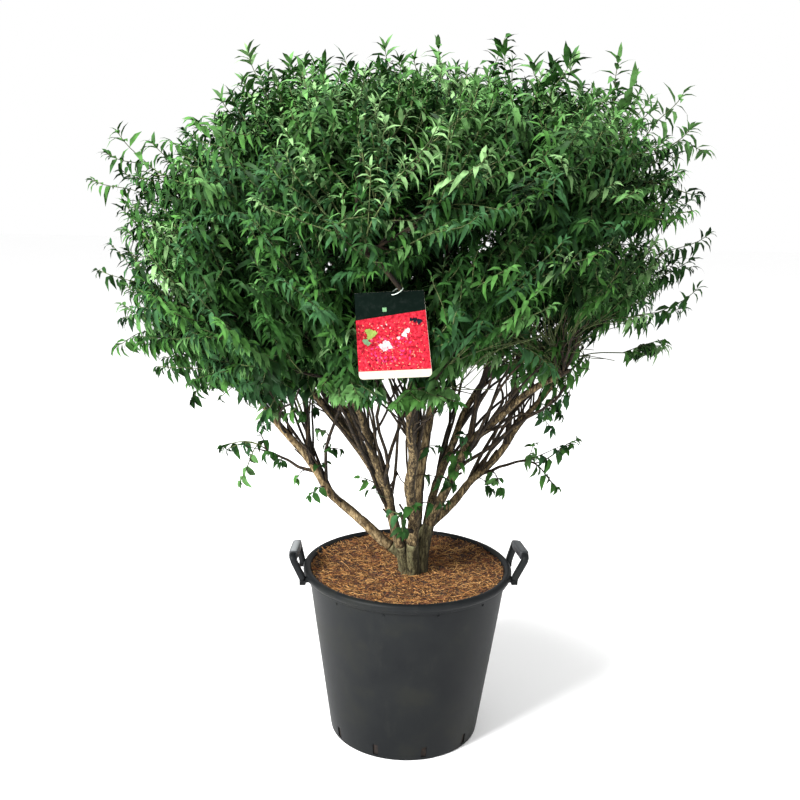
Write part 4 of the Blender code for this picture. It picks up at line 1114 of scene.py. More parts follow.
def make_fibres(materials):
    """Loose coir fibres, short and curled, and bark chips over the pith."""
    rng = random.Random("fibres")
    heaps = [Heap() for _ in materials]
    edge = wall_radius(MEDIUM_TOP) - WALL - 0.003
    for _ in range(FIBRE_COUNT):
        points = fibre_line(rng, edge, rng.uniform(0.006, 0.019), 3)
        thick = rng.uniform(0.00035, 0.00090)
        add_tube(rng.choice(heaps), points, np.array([0.7, 1.0, 0.6]) * thick, 3)
    for _ in range(CURL_COUNT):
        points = fibre_line(rng, edge, rng.uniform(0.025, 0.055), 6)
        thick = rng.uniform(0.00035, 0.00075)
        add_tube(rng.choice(heaps), points, np.full(6, thick), 3)
    for _ in range(CHIP_COUNT):
        across, deep = scattered(rng, edge)
        turn = rng.uniform(0.0, 2 * math.pi)
        way = unit(np.array([math.cos(turn), math.sin(turn), rng.gauss(0.0, 0.25)]))
        centre = np.array([across, deep, medium_height(across, deep) + rng.uniform(0.0004, 0.0030)])
        length = rng.uniform(0.003, 0.009)
        points = np.array([centre - way * length / 2, centre, centre + way * length / 2])
        add_tube(rng.choice(heaps), points, np.array([0.6, 1.0, 0.7]) * rng.uniform(0.0007, 0.0018), 4)
    for number, (heap, material) in enumerate(zip(heaps, materials)):
        name = "coir_fibres_%d" % number
        dress(add_object(name, heap.mesh(name, smooth=False), material), "medium")


# Limbs

def limb_line(limb, start, first, count=LIMB_POINTS):
    """The limb's fine centre line, with slight seeded bends that die out at both ends."""
    tip = from_trunk(limb.azimuth, limb.reach, limb.height)
    last = heading(limb.azimuth + limb.twist, limb.lean_end)
    line = bezier(start, first, last, tip, count)
    rng = random.Random(limb.name)
    share = np.linspace(0.0, 1.0, count)
    fade = np.sin(np.pi * share) ** 2
    size = LIMB_WOBBLE * min(1.0, np.linalg.norm(tip - start) / WOBBLE_FULL_SPAN)
    for axis in range(3):
        waves = rng.uniform(*WOBBLE_WAVES)
        phase = rng.uniform(0.0, 2 * math.pi)
        line[:, axis] += size * fade * np.sin(2 * np.pi * waves * share + phase)
    return line


def limb_radius(limb, total, flared=False):
    """Radius along a limb that thins evenly to its tip, and flares where it meets the medium."""

    def radius_at(distance):
        share = min(1.0, max(0.0, distance / total))
        thick = limb.thick_start + (limb.thick_end - limb.thick_start) * share**LIMB_TAPER
        flare = math.exp(-distance / TRUNK_FLARE_HEIGHT) if flared else 0.0
        return 0.5 * thick * (1.0 + (TRUNK_FLARE - 1.0) * flare)

    return radius_at


def plan_limbs():
    """Centre line, length and radius rule of every limb, by name."""
    plan = {}
    for limb in STEMS:
        within = limb.rise > 0 or limb.name == CENTRE_STEM
        foot = from_trunk(limb.azimuth, 0.0 if within else TRUNK_RING, MEDIUM_TOP + limb.rise)
        line = limb_line(limb, foot, heading(limb.azimuth, limb.lean_start))
        total = lengths(line)[-1]
        plan[limb.name] = (limb, line, total, limb_radius(limb, total, limb.rise < 0))
    for limb in SIDE_BOUGHS:
        _, parent_line, parent_total, _ = plan[limb.parent]
        start, _ = along(parent_line, limb.start_at * parent_total)
        line = limb_line(limb, start, heading(limb.azimuth, limb.lean_start))
        total = lengths(line)[-1]
        plan[limb.name] = (limb, line, total, limb_radius(limb, total))
    return plan


def limb_stretch(line, begin, end, radius_at):
    """Points of the solid's own coarse stretch of a limb."""
    count = max(3, int(round((end - begin) / LIMB_STEP)) + 1)
    first, first_way = along(line, begin)
    last, last_way = along(line, end)
    inner = [along(line, distance)[0] for distance in np.linspace(begin, end, count)[1:-1]]
    return np.array([first, first + first_way * STUB_STRAIGHT, *inner, last - last_way * STUB_STRAIGHT, last])


def bark_rings(line, total, radius_at, seed, saddle=0.0):
    """Rings of points along a limb with furrowed bark, and the distance of each ring."""
    count = max(6, int(total / BARK_STEP))
    run = lengths(line)
    distances = np.linspace(0.0, total, count)
    centres = np.stack([np.interp(distances, run, line[:, axis]) for axis in range(3)], axis=1)
    for _ in range(3):
        centres[1:-1] = (centres[:-2] + 2 * centres[1:-1] + centres[2:]) / 4
    side, up = path_frames(centres)
    widest = radius_at(0.0)
    sides = int(np.clip(round(2 * math.pi * widest / BARK_FACE), 10, 34))
    angles = np.arange(sides) * 2 * math.pi / sides
    rings = np.zeros((count, sides, 3))
    for index, distance in enumerate(distances):
        radius = radius_at(distance)
        knots = 1.0 + 0.05 * noise.noise(Vector((distance * 24.0, seed, 0.0)))
        collar = saddle * math.exp(-distance / 0.016)
        depth = min(BARK_DEPTH, radius * BARK_DEPTH_SHARE)
        for step, angle in enumerate(angles):
            spot = Vector((
                radius * math.cos(angle) / BARK_FURROW + seed,
                radius * math.sin(angle) / BARK_FURROW,
                distance / (BARK_FURROW * BARK_STRETCH),
            ))
            furrow = min(1.0, abs(noise.noise(spot)) * 3.6)
            cross = min(1.0, abs(noise.noise(spot * 2.3 + Vector((7.0, 3.0, 1.0)))) * 4.0)
            lift = depth * (0.75 * furrow + 0.25 * cross - 0.62)
            reach = radius * knots * (1.0 + collar) + lift
            rings[index, step] = centres[index] + (side[index] * math.cos(angle) + up[index] * math.sin(angle)) * reach
    return rings, distances


def add_rings(heap, rings):
    """Closed mesh of a stretch of rings."""
    count, sides, _ = rings.shape
    first_cap = np.arange(sides)[::-1][None]
    last_cap = (count - 1) * sides + np.arange(sides)[None]
    heap.add(rings.reshape(-1, 3), ring_faces(count, sides), first_cap, last_cap)


def make_trunk(plan, rings_of, material):
    """The lower stretch of every stem, round a furrowed core."""
    heap = Heap()
    for limb in STEMS:
        rings, distances = rings_of[limb.name]
        cut = int(np.searchsorted(distances, limb.start_at))
        add_rings(heap, rings[:cut + 1])
    core = np.array([from_trunk(0.0, 0.0, height) for height in np.linspace(MEDIUM_TOP - 0.010, TRUNK_CORE_TOP + 0.004, 12)])
    total = lengths(core)[-1]

    def core_radius(distance):
        share = distance / total
        flare = CORE_FLARE * math.exp(-distance / TRUNK_FLARE_HEIGHT)
        return TRUNK_WEB_RADIUS * (1.06 + flare - 0.16 * share) * math.sqrt(max(0.002, 1.0 - share**3))

    add_rings(heap, bark_rings(core, total, core_radius, 41.0)[0])
    return dress(add_object("trunk_bark", heap.mesh("trunk_bark"), material), "bark", "trunk")


def make_limbs(plan, trunk_bark, pale_bark, old_bark, young_bark):
    """Trunk and boughs with bark relief."""
    rings_of = {}
    for number, (limb, line, total, radius_at) in enumerate(plan.values()):
        saddle = 0.45 if limb.parent else 0.0
        rings_of[limb.name] = bark_rings(line, total, radius_at, 3.7 * number, saddle)
    make_trunk(plan, rings_of, trunk_bark)
    for limb, _, _, _ in plan.values():
        rings, distances = rings_of[limb.name]
        cut = 0 if limb.parent else int(np.searchsorted(distances, limb.start_at))
        heap = Heap()
        add_rings(heap, rings[cut:])
        bark = pale_bark if limb.name == PALE_STEM else young_bark if limb.parent else old_bark
        item = add_object(limb.name + "_bark", heap.mesh(limb.name + "_bark"), bark)
        dress(item, "bark", limb.name)


# Crown

def crown_reach(direction):
    """How far the crown's outline lies from its centre in a direction."""
    side, depth, up = direction
    flat = math.hypot(side, depth)
    elevation = math.degrees(math.atan2(up, flat))
    left = np.interp(elevation, CROWN_ELEVATION, CROWN_LEFT)
    right = np.interp(elevation, CROWN_ELEVATION, CROWN_RIGHT)
    sideways = side / flat if flat > 0 else 0.0
    reach = left + (right - left) * (0.5 + 0.5 * sideways)
    if depth < 0:
        low = np.interp(elevation, (CROWN_LIFT_FULL, CROWN_LIFT_FROM), (1.0, 0.0))
        reach *= 1.0 - CROWN_FRONT_LIFT * low * (1.0 - sideways**2)
    return reach * (1.0 - (1.0 - CROWN_DEPTH) * (1.0 - sideways**2) * math.cos(math.radians(elevation)))


CENTRES = np.array([from_trunk(mass.azimuth, mass.reach, mass.height) for mass in MASSES])
CROWN_ONLY = np.array([9.0 if mass.radius else 0.0 for mass in MASSES])


def owner(point):
    """The crown mass whose centre is nearest to a point."""
    return int(np.argmin(np.linalg.norm(CENTRES - point, axis=1) + CROWN_ONLY))


def plan_clumps():
    """Directions of the clumps of shoots, and how far each rises above the crown's mean outline."""
    rng = random.Random("clumps")
    spread = np.array(spread_directions(CLUMP_COUNT))
    ways = units(spread + np.array([[rng.gauss(0.0, 0.035) for _ in range(3)] for _ in spread]))
    return ways, np.array([rng.uniform(*CLUMP_RISE) for _ in spread])


def clumped(direction, clumps, rng):
    """A fine shoot's direction drawn into its clump, and its share of the crown's reach."""
    ways, rises = clumps
    index = int(np.argmax(ways @ direction))
    rise = rises[index] * (1.0 + CLUMP_TOP * max(0.0, direction[2] - 0.3))
    away = min(1.0, np.linalg.norm(ways[index] - direction) / CLUMP_SPREAD)
    jitter = np.array([rng.gauss(0.0, 0.025) for _ in range(3)])
    drawn = unit(direction + (ways[index] - direction) * CLUMP_PULL + jitter)
    if rng.random() < STAND_OUT:
        return drawn, 1.0 + STAND_OUT_BY * rng.random()
    thin = TOP_THIN * max(0.0, direction[2] - 0.3)
    thin += LOW_THIN * min(1.0, max(0.0, -direction[2] - 0.2) * 3.0)
    return drawn, 1.0 + rise - CLUMP_DEPTH * away**2 - rng.uniform(*FINE_PULL) - thin


def plan_targets():
    """Shoot tips by mass: those of the solids first, then the finer ones, layer by layer."""
    rng = random.Random("targets")
    clumps = plan_clumps()
    targets = {index: [] for index in range(len(MASSES))}
    for tip in FAR_TIPS:
        targets[owner(np.array(tip))].append(np.array(tip))
    for tip in SIDE_TIPS:
        targets[owner(np.array(tip))].append(np.array(tip))
    centre = np.array(CROWN_CENTRE)
    for layer, (count, share) in enumerate(LAYERS):
        for direction in spread_directions(count):
            if direction[2] < LOWEST_TARGET:
                continue
            if layer < 2:
                lump = 1.0 + rng.uniform(-OUTLINE_LUMPS, OUTLINE_OVER)
            else:
                direction, lump = clumped(direction, clumps, rng)
            point = centre + direction * crown_reach(direction) * share * lump
            targets[owner(point)].append(point)
    for index, mass in enumerate(MASSES):
        if not mass.radius:
            continue
        for direction in spread_directions(BALL_TARGETS):
            targets[index].append(CENTRES[index] + direction * mass.radius * BALL_REACH)
        for direction in spread_directions(BALL_FINE):
            if direction[2] > BALL_LOWEST:
                reach = mass.radius * rng.uniform(0.5, 0.9)
                targets[index].append(CENTRES[index] + direction * reach)
    return targets


class Tree:
    """The twigs of one mass: points with their parents, grown target by target."""

    def __init__(self, root, way, limit):
        self.places = np.zeros((limit, 3))
        self.costs = np.zeros(limit)
        self.ways, self.runs, self.parents, self.loads = [], [], [], []
        self.shoots = []
        self.add(root, way, 0.0, -1)

    def add(self, place, way, run, parent):
        index = len(self.ways)
        self.places[index] = place
        self.costs[index] = PATH_COST * run
        self.ways.append(way)
        self.runs.append(run)
        self.parents.append(parent)
        self.loads.append(0)
        return index

    def grow(self, target, shortest, rng, keep_out):
        """One shoot to the target: it turns up near the crown's top and hangs over at its sides."""
        count = len(self.ways)
        spans = np.linalg.norm(self.places[:count] - target, axis=1)
        cost = spans + self.costs[:count] + (spans < shortest)
        start = int(np.argmin(cost))
        span = spans[start]
        if span < 0.03:
            return
        origin = self.places[start].copy()
        onward = (target - origin) / span
        outward = unit(target - np.array(CROWN_CENTRE))
        lift = np.array([0.0, 0.0, 0.45 + 0.75 * outward[2] + rng.gauss(0.0, 0.15)])
        last = unit(onward + lift + 0.30 * outward)
        first = unit(self.ways[start] + onward + np.array([0.0, 0.0, 0.25]))
        line = bezier(origin, first, last, target, TWIG_POINTS)
        bend = np.array([rng.gauss(0.0, 0.02) for _ in range(3)]) * span
        line += np.sin(np.linspace(0.0, math.pi, TWIG_POINTS))[:, None] * bend
        if any(keep_out(place) for place in line[1:]) or any(keep_out(place) for place in (line[1:] + line[:-1]) / 2):
            return
        steps = np.diff(line, axis=0)
        sizes = np.linalg.norm(steps, axis=1)
        indices = [start]
        for after, step, size in zip(line[1:], steps, sizes):
            indices.append(self.add(after, step / size, self.runs[indices[-1]] + size, indices[-1]))
        index = indices[-1]
        while index >= 0:
            self.loads[index] += 1
            index = self.parents[index]
        self.shoots.append(indices)

    def radii(self, indices, root_radius):
        """Radius at each point of a shoot, by how many shoots it carries."""
        loads = np.array([self.loads[index] for index in indices], float)
        loads[0] = min(loads[0], loads[1] * 1.35)
        radii = TWIG_TIP_RADIUS * np.maximum(1.0, loads) ** TWIG_GROWTH
        return np.minimum(radii, root_radius * 0.92)


def fan_limbs(plan):
    """Fine boughs that leave the stems low down and rise through the fan into the crown."""
    rng = random.Random("fan")
    stems = [limb for limb in STEMS if limb.name != CENTRE_STEM]
    lines = []
    for number in range(FAN_COUNT):
        stem = stems[number % len(stems)]
        _, line, total, radius_at = plan[stem.name]
        share = rng.uniform(*FAN_FROM)
        start, way = along(line, share * total)
        azimuth = stem.azimuth + rng.gauss(0.0, 15.0)
        reach = stem.reach * rng.uniform(0.70, 1.22)
        tip = from_trunk(azimuth, reach, rng.uniform(0.90, 1.04))
        straight = unit(tip - start)
        path = bezier(start, unit(way + straight), unit(straight + heading(azimuth, 25.0) * 0.3), tip, FAN_POINTS)
        for waves, size in ((2, 0.006), (4, 0.0035)):
            bend = np.array([rng.gauss(0.0, size) for _ in range(3)])
            path += np.sin(np.linspace(0.0, waves * math.pi, FAN_POINTS))[:, None] * bend
        thick = min(radius_at(share * total) * 0.50, np.interp(share, FAN_FROM, FAN_RADII) * rng.uniform(0.7, 1.3))
        lines.append((path, thick))
    return lines


def cut_stubs(plan):
    """Short cut-off stubs and leafless spurs on the lower stems."""
    rng = random.Random("stubs")
    pieces = []
    for stem in STEMS:
        _, line, total, radius_at = plan[stem.name]
        for _ in range(STUBS_PER_STEM):
            share = rng.uniform(0.24, 0.66)
            start, way = along(line, share * total)
            azimuth = stem.azimuth + rng.uniform(-100.0, 100.0)
            length = rng.uniform(0.012, 0.080)
            bent = unit(way + 0.9 * heading(azimuth, 60.0))
            thick = min(radius_at(share * total) * 0.5, rng.uniform(0.0014, 0.0036))
            begin = start + bent * radius_at(share * total) * 0.6
            middle = begin + bent * length * 0.5 + np.array([rng.gauss(0.0, 0.002) for _ in range(3)])
            pieces.append((np.array([begin, middle, begin + bent * length]), thick))
    return pieces


def low_tufts(plan, fan):
    """Thin twigs with a few leaves at their tips, that hang in the open fan of stems."""
    rng = random.Random("tufts")
    names = [name for name in plan if name != "trunk"]
    starts, ways = [], []
    for line in [plan[name][1] for name in names] + [path for path, _ in fan[::2]]:
        steps = units(np.diff(line, axis=0))
        starts += list(line[:-1])
        ways += list(steps)
    starts = np.array(starts)
    shoots = []
    for place in LOW_TUFTS:
        target = np.array(place)
        spans = np.linalg.norm(starts - target, axis=1) + 0.5 * np.maximum(0.0, starts[:, 2] - target[2])
        spans += (spans < TUFT_NEAREST) * 1.0
        index = int(np.argmin(spans))
        straight = unit(target - starts[index])
        last = unit(straight + np.array([0.0, 0.0, rng.uniform(-0.5, 0.1)]))
        shoots.append(bezier(starts[index], unit(ways[index] + straight), last, target, TWIG_POINTS))
    return shoots


def grow_trees(plan, fan, keep_out):
    """The twigs of every mass."""
    targets = plan_targets()
    trees = []
    for index, mass in enumerate(MASSES):
        rng = random.Random(mass.name)
        _, line, total, radius_at = plan[mass.limb]
        root, way = along(line, total)
        limit = 1 + len(fan) + (TWIG_POINTS - 1) * len(targets[index])
        tree = Tree(root + way * COLLAR_LENGTH * 0.2, way, limit)
        for path, _ in fan:
            if mass.radius == 0.0 and owner(path[-1]) == index:
                tree.add(path[-1], unit(path[-1] - path[-2]), 0.16, -1)
        for target in sorted(targets[index], key=lambda target: np.linalg.norm(target - root)):
            tree.grow(target, SHOOT_SHORTEST * rng.uniform(0.7, 1.4) * mass.leaf, rng, keep_out)
        trees.append((mass, tree, root, way, radius_at(total)))
    print("shoots", sum(len(item[1].shoots) for item in trees))
    return trees


def make_twigs(plan, trees, fan, tufts, young_bark, green_bark):
    """All twigs, the woody ones and the fine green ones apart."""
    woody, fine = Heap(), Heap()
    for mass, tree, root, way, root_radius in trees:
        collar = np.array([root - way * 0.004, root, root + way * COLLAR_LENGTH * 0.5, root + way * COLLAR_LENGTH])
        add_tube(woody, collar, root_radius * np.array([0.97, 0.97, 0.85, 0.5]), 8)
        for indices in tree.shoots:
            points = tree.places[indices]
            radii = tree.radii(indices, root_radius)
            if mass.radius:
                radii = radii * BALL_TWIGS
            if radii[1] > FINE_TWIG:
                add_tube(woody, points, radii, 6)
            else:
                add_tube(fine, points, radii, 3)
    for path, thick in fan:
        add_tube(woody, path, thick * np.linspace(1.0, 0.55, len(path)), 6)
    for path, thick in cut_stubs(plan):
        add_tube(woody, path, thick * np.array([1.1, 0.95, 0.9]), 6)
    for path in tufts:
        add_tube(woody, path, FINE_TWIG * np.linspace(0.8, 0.4, len(path)), 4)
    masses = [mass.name for mass in MASSES]
    dress(add_object("twigs_woody", woody.mesh("twigs_woody"), young_bark), "bark", *masses)
    dress(add_object("twigs_fine", fine.mesh("twigs_fine"), green_bark), "bark", *masses)
    print("twig triangles", woody.triangles(), fine.triangles())


# Leaves

# Stations along a leaf: share of its length, and of its half width
LEAF_STATIONS = ((0.30, 0.96), (0.66, 0.80))


def leaf_template():
    """Points of a leaf as (along, across), and its faces: folded below, flat towards its tip."""
    (near, near_width), (far, far_width) = LEAF_STATIONS
    points = [(0.0, 0.0), (near, -near_width), (near, 0.0), (near, near_width)]
    points += [(far, -far_width), (far, far_width), (1.0, 0.0)]
    faces = [(0, 2, 1), (0, 3, 2), (1, 2, 4), (2, 5, 4), (2, 3, 5), (4, 5, 6)]
    return np.array(points), np.array(faces)


def shoot_leaves(points, size, rng, leafy_length=LEAFY_LENGTH, hang=None, broad=0.0, apart=1.0):
    """Root, direction, shoot direction, size and broadness of each leaf along one shoot."""
    run = lengths(points)
    total = run[-1]
    if hang is None:
        hang = np.interp(points[-1][2], HANG_SPAN, HANG_RANGE)
    leafy = min(total * 0.9, leafy_length * rng.uniform(0.7, 1.25))
    tip_way = unit(points[-1] - points[-2])
    rows = [(points[-1], unit(tip_way - np.array([0.0, 0.0, 0.15])), tip_way, size * rng.uniform(0.5, 0.75), broad)]
    spacing = LEAF_SPACING * apart
    turn = rng.uniform(0.0, math.pi)
    distance = total
    pair = 0
    while distance > total - leafy:
        place, way = along(points, max(distance, 1e-4))
        level = np.cross(way, (0.0, 0.0, 1.0))
        level = unit(level) if np.linalg.norm(level) > 0.15 else np.array([1.0, 0.0, 0.0])
        rise = np.cross(level, way)
        around = turn + pair * math.pi / 2
        if abs(way[2]) < 0.6:
            around = rng.gauss(0.0, 0.30) + (pair % 2) * 0.45
        across = level * math.cos(around) + rise * math.sin(around)
        share = (total - distance) / max(leafy, 1e-6)
        least, most = LEAF_OPENING
        opening = math.radians(least + (most - least) * min(1.0, share * 2.6) + rng.gauss(0.0, 6.0))
        grown = size * (0.60 + 0.40 * min(1.0, share * 4.0)) * rng.uniform(0.84, 1.12)
        for sign in (1.0, -1.0):
            if rng.random() < 0.06:
                continue
            droop = hang * (0.4 + share) * rng.uniform(0.4, 1.6)
            lean = way * math.cos(opening) + across * sign * math.sin(opening) - np.array([0.0, 0.0, droop])
            rows.append((place, unit(lean), way, grown, broad))
        pair += 1
        distance -= spacing * rng.uniform(0.8, 1.2) * (0.36 + 0.64 * min(1.0, share * 3.5))
    return rows


def leaf_points(rows, rng):
    """All leaves' points, from arrays of their roots, directions and sizes."""
    template, _ = leaf_template()
    count = len(rows)
    roots, ways, shoots = (np.array([row[part] for row in rows]) for part in range(3))
    sizes, broad = (np.array([row[part] for row in rows]) for part in (3, 4))
    outward = units(roots - np.array(CROWN_CENTRE))
    normals = np.array([0.0, 0.0, 1.0]) + shoots * 0.30 + outward * 0.25 + rng.normal(0.0, 0.30, (count, 3))
    across = units(np.cross(normals, ways))
    normals = np.cross(ways, across)
    low = np.clip((LOW_LEAVES - roots[:, 2]) / LOW_LEAVES_BLEND, 0.0, 1.0)
    lowest = np.clip((FAN_LEAVES - roots[:, 2]) / FAN_LEAVES_BLEND, 0.0, 1.0)
    shape = rng.uniform(0.85, 1.15, count) * (1.0 - 0.12 * lowest)
    sizes = sizes * np.interp(roots[:, 1], FRONT_SPAN, (FRONT_SIZE, 1.0))
    long = LEAF_LENGTH * sizes * shape
    shape = rng.uniform(0.80, 1.15, count) * (1.0 + 0.32 * low + 0.18 * lowest + BROAD_WIDE * broad)
    wide = LEAF_WIDTH * sizes * shape
    fold = rng.uniform(*LEAF_FOLD, count)
    arch = rng.uniform(*LEAF_ARCH, count) * (1.0 - BROAD_FLAT * broad)
    arch *= 1.0 - UPRIGHT_STRAIGHT * np.clip(ways[:, 2], 0.0, 1.0)
    hook = rng.uniform(-0.08, 0.08, count)
    lengthways, sideways = template[:, 0], template[:, 1][None] * wide[:, None] / 2
    bent = (lengthways**2)[None] * long[:, None]
    reach = (lengthways[None] - 0.30 * arch[:, None] * lengthways**3) * long[:, None]
    height = fold[:, None] * np.abs(sideways) - arch[:, None] * bent
    return (
        roots[:, None]
        + ways[:, None] * reach[..., None]
        + across[:, None] * (sideways + hook[:, None] * bent)[..., None]
        + normals[:, None] * height[..., None]
    )


def keep_clear(rows, plan, keep_out):
    """The leaves that touch no limb, stay in the plant's box and don't hang before the tag."""
    spots = []
    for _, line, total, radius_at in plan.values():
        for distance in np.arange(0.0, total, 0.008):
            spots.append((along(line, distance)[0], radius_at(distance)))
    tree = kdtree.KDTree(len(spots))
    for index, (place, _) in enumerate(spots):
        tree.insert(place, index)
    tree.balance()
    low, high = (np.array(corner) for corner in CAD_BOX)
    kept = []
    for row in rows:
        tip = row[0] + row[1] * LEAF_LENGTH * row[3]
        middle = (row[0] + tip) / 2
        _, index, span = tree.find(middle)
        if span < spots[index][1] + LEAF_LIMB_CLEAR:
            continue
        if (tip < low - LEAF_PROUD).any() or (tip > high + LEAF_PROUD).any():
            continue
        if keep_out(row[0]) or keep_out(middle) or keep_out(tip):
            continue
        kept.append(row)
    return kept


def open_share(place):
    """Share of the shoots that are bare at a place, where the crown is open."""
    share = 0.0
    for start, end, radius, bare in OPEN_PLACES:
        start, reach = np.array(start), np.array(end) - np.array(start)
        onward = min(1.0, max(0.0, (place - start) @ reach / (reach @ reach)))
        if np.linalg.norm(place - start - onward * reach) < radius:
            share = max(share, bare)
    return share


def tone_shares(shares, mass, depth, high, low):
    """Shares of the leaf tones for one shoot: painted shade makes them darker inside, and painted light makes them
    lighter at the top and low down.
    """
    if mass.radius:
        return (shares * np.array([0.6, 1.0, 1.0, 1.0, 1.0, 0.6, 0.0])).tolist()
    # Painted shade: the deeper a shoot lies in the crown, the more often it takes the dark tones.
    inner = max(0.0, 0.95 - depth) * 5.0
    dark = (0.5 + inner) * (1.0 - 0.85 * high) * (1.0 - 0.6 * low)
    # Painted light: shoots at the crown's top and low down take the fresh, light and tip tones more often.
    light = 1.0 + 7.0 * high + 1.6 * low
    fresh = 1.0 + high + 1.2 * low
    return (shares * np.array([dark, dark + 0.3 - 0.2 * high, 1.0, 1.0, fresh, light, light * (1.0 + high)])).tolist()


def make_leaves(trees, tufts, plan, keep_out):
    """Leaves in pairs along every shoot, dealt to the tones by shoot."""
    rng = random.Random("leaves")
    names = list(LEAF_TONES)
    shares = np.array([LEAF_TONES[name][1] for name in names])
    dealt = {name: [] for name in names}
    centre = np.array(CROWN_CENTRE)
    for mass, tree, _, _, _ in trees:
        for indices in tree.shoots:
            points = tree.places[indices]
            out = points[-1] - centre
            depth = min(1.0, np.linalg.norm(out) / crown_reach(unit(out)))
            outer = depth > OUTER_LEAVES and not mass.radius
            rise = min(1.0, max(0.0, out[2] - 0.10) * 4.0)
            high = rise if outer else 0.0
            low = min(1.0, max(0.0, -out[2] - 0.06) * 5.0)
            # Tones by place: painted shade deep in the crown, painted light at its top and low down.
            name = rng.choices(names, tone_shares(shares, mass, depth, max(high, 0.7 * rise), low))[0]
            size = mass.leaf * (INNER_SIZE if depth < INNER_LEAVES and not mass.radius else 1.0)
            size *= 1.0 + (TOP_SIZE - 1.0) * high
            spared = rng.random()
            if mass.radius:
                rows = shoot_leaves(points, BALL_SIZE, rng, TUFT_LEAFY, TUFT_HANG, 0.0, TUFT_SPACING)
            else:
                rows = shoot_leaves(points, size, rng, broad=max(high, 0.5 * outer))
            dealt[name] += [row for row in rows if mass.radius or open_share(row[0]) < spared]
    for points in tufts:
        name = rng.choices(names[1:6], shares.tolist()[1:6])[0]
        dealt[name] += shoot_leaves(points, TUFT_SIZE, rng, TUFT_LEAFY, TUFT_HANG, 0.0, TUFT_SPACING)
    template, faces = leaf_template()
    masses = [mass.name for mass in MASSES]
    total = 0
    for number, name in enumerate(names):
        rows = keep_clear(dealt[name], plan, keep_out)
        points = leaf_points(rows, np.random.default_rng(100 + number))
        steps = np.arange(len(rows))[:, None, None] * len(template)
        heap = Heap()
        heap.add(points.reshape(-1, 3), (faces[None] + steps).reshape(-1, 3))
        total += heap.triangles()
        colour, _ = LEAF_TONES[name]
        item = add_object(name, heap.mesh(name), leaf_material(name, screen(*colour)))
        dress(item, "leaf", *masses)
        print(name, len(rows), "leaves", heap.triangles(), "triangles")
    print("leaf triangles", total)


# Tag

def tag_place(plan):
    """Where the loop hangs on its bough, nearly square to the card, and the card's hole."""
    _, line, total, radius_at = plan[TAG_BOUGH]
    points = limb_stretch(line, 0.0, total, radius_at)
    hold, way = along(points, lengths(points)[-1] - TAG_BACK)
    way = unit(way * (1.0, LOOP_TURN, 1.0))
    down = unit(way * way[2] - np.array([0.0, 0.0, 1.0]))
    inner = LOOP_RADIUS * math.cos(math.pi / LOOP_STEPS) - LOOP_WIRE
    slack = inner - GAP - radius_at(total - TAG_BACK)
    middle = hold + down * slack
    rest = TAG_HOLE_RADIUS - LOOP_WIRE - GAP
    hole = middle + down * LOOP_RADIUS - np.array([0.0, 0.0, rest])
    return middle, way, hole


def tag_frame(hole):
    """4 by 4 frame of the tag: x along its width, y up it, z out of its face to the front."""
    tilt = Matrix.Rotation(math.radians(-TAG_TILT), 4, "Y")
    return Matrix.Translation(hole.tolist()) @ tilt @ Matrix.Rotation(math.radians(90), 4, "X")


def tag_screen(hole):
    """A test for points that would hide the tag from the front."""
    back = tag_frame(hole).inverted()

    def hides(point):
        across, up, out = back @ Vector(point)
        if out < -0.012 or out > 0.32:
            return False
        up -= 0.22 * max(0.0, out)
        inside = abs(across) < TAG_WIDTH * 0.53
        return inside and TAG_HOLE_DROP - TAG_HEIGHT * 1.04 < up < TAG_HOLE_DROP + 0.026

    return hides


def card_outline(left, right, bottom, top, corner, taper=0.0):
    """Outline of a card with rounded lower corners, narrower at its top by the taper."""
    outline = [(right - taper, top), (left, top)]
    for middle, first in ((left + corner, 180), (right - corner, 270)):
        for step in range(6):
            angle = math.radians(first + step * 18)
            outline.append((middle + corner * math.cos(angle), bottom + corner + corner * math.sin(angle)))
    return outline


def card_piece(name, outline, place, thick, material, frame_matrix):
    """A flat closed plate with the given outline, its back at the height place."""
    count = len(outline)
    points = [Vector((x, y, place)) for x, y in outline] + [Vector((x, y, place + thick)) for x, y in outline]
    points = np.array([frame_matrix @ point for point in points])
    heap = Heap()
    ring = np.arange(count)
    sides = np.stack([ring, (ring + 1) % count, (ring + 1) % count + count, ring + count], axis=1)
    heap.add(points, ring[::-1][None], (ring + count)[None], sides)
    return dress(add_object(name, heap.mesh(name, smooth=False), material), "tag")


def leaf_marks(name, spots, place, height, material):
    """Flat pointed leaf shapes scattered over the card: spots are (x, y, length, angle)."""
    heap = Heap()
    for number, (across, up, length, angle) in enumerate(spots):
        level = height + (number % MARK_LEVELS) * MARK_STEP
        along_leaf = np.array([math.cos(angle), math.sin(angle)])
        over = np.array([-along_leaf[1], along_leaf[0]]) * 0.24
        middle = np.array([across, up])
        corners = [
            middle - along_leaf * length * 0.5,
            middle + over * length - along_leaf * length * 0.05,
            middle + along_leaf * length * 0.5,
            middle - over * length - along_leaf * length * 0.05,
        ]
        points = np.array([place @ Vector((x, y, level)) for x, y in corners])
        heap.add(points, np.array([[0, 3, 2, 1]]))
    return dress(add_object(name, heap.mesh(name, smooth=False), material), "tag")


def patch_marks(name, spots, place, height, material):
    """Small rounded patches with wavy edges on the card: spots are (x, y, radius)."""
    heap = Heap()
    for number, (across, up, radius) in enumerate(spots):
        corners = []
        for step in range(PATCH_SIDES):
            angle = 2 * math.pi * step / PATCH_SIDES
            reach = radius * (1.0 + 0.16 * math.sin(3 * angle + number) + 0.10 * math.sin(7 * angle + 2 * number))
            corners.append((across + reach * math.cos(angle), up + reach * math.sin(angle)))
        level = height + number * MARK_STEP / 2
        points = np.array([place @ Vector((x, y, level)) for x, y in corners])
        heap.add(points, np.arange(PATCH_SIDES)[None])
    return dress(add_object(name, heap.mesh(name, smooth=False), material), "tag")


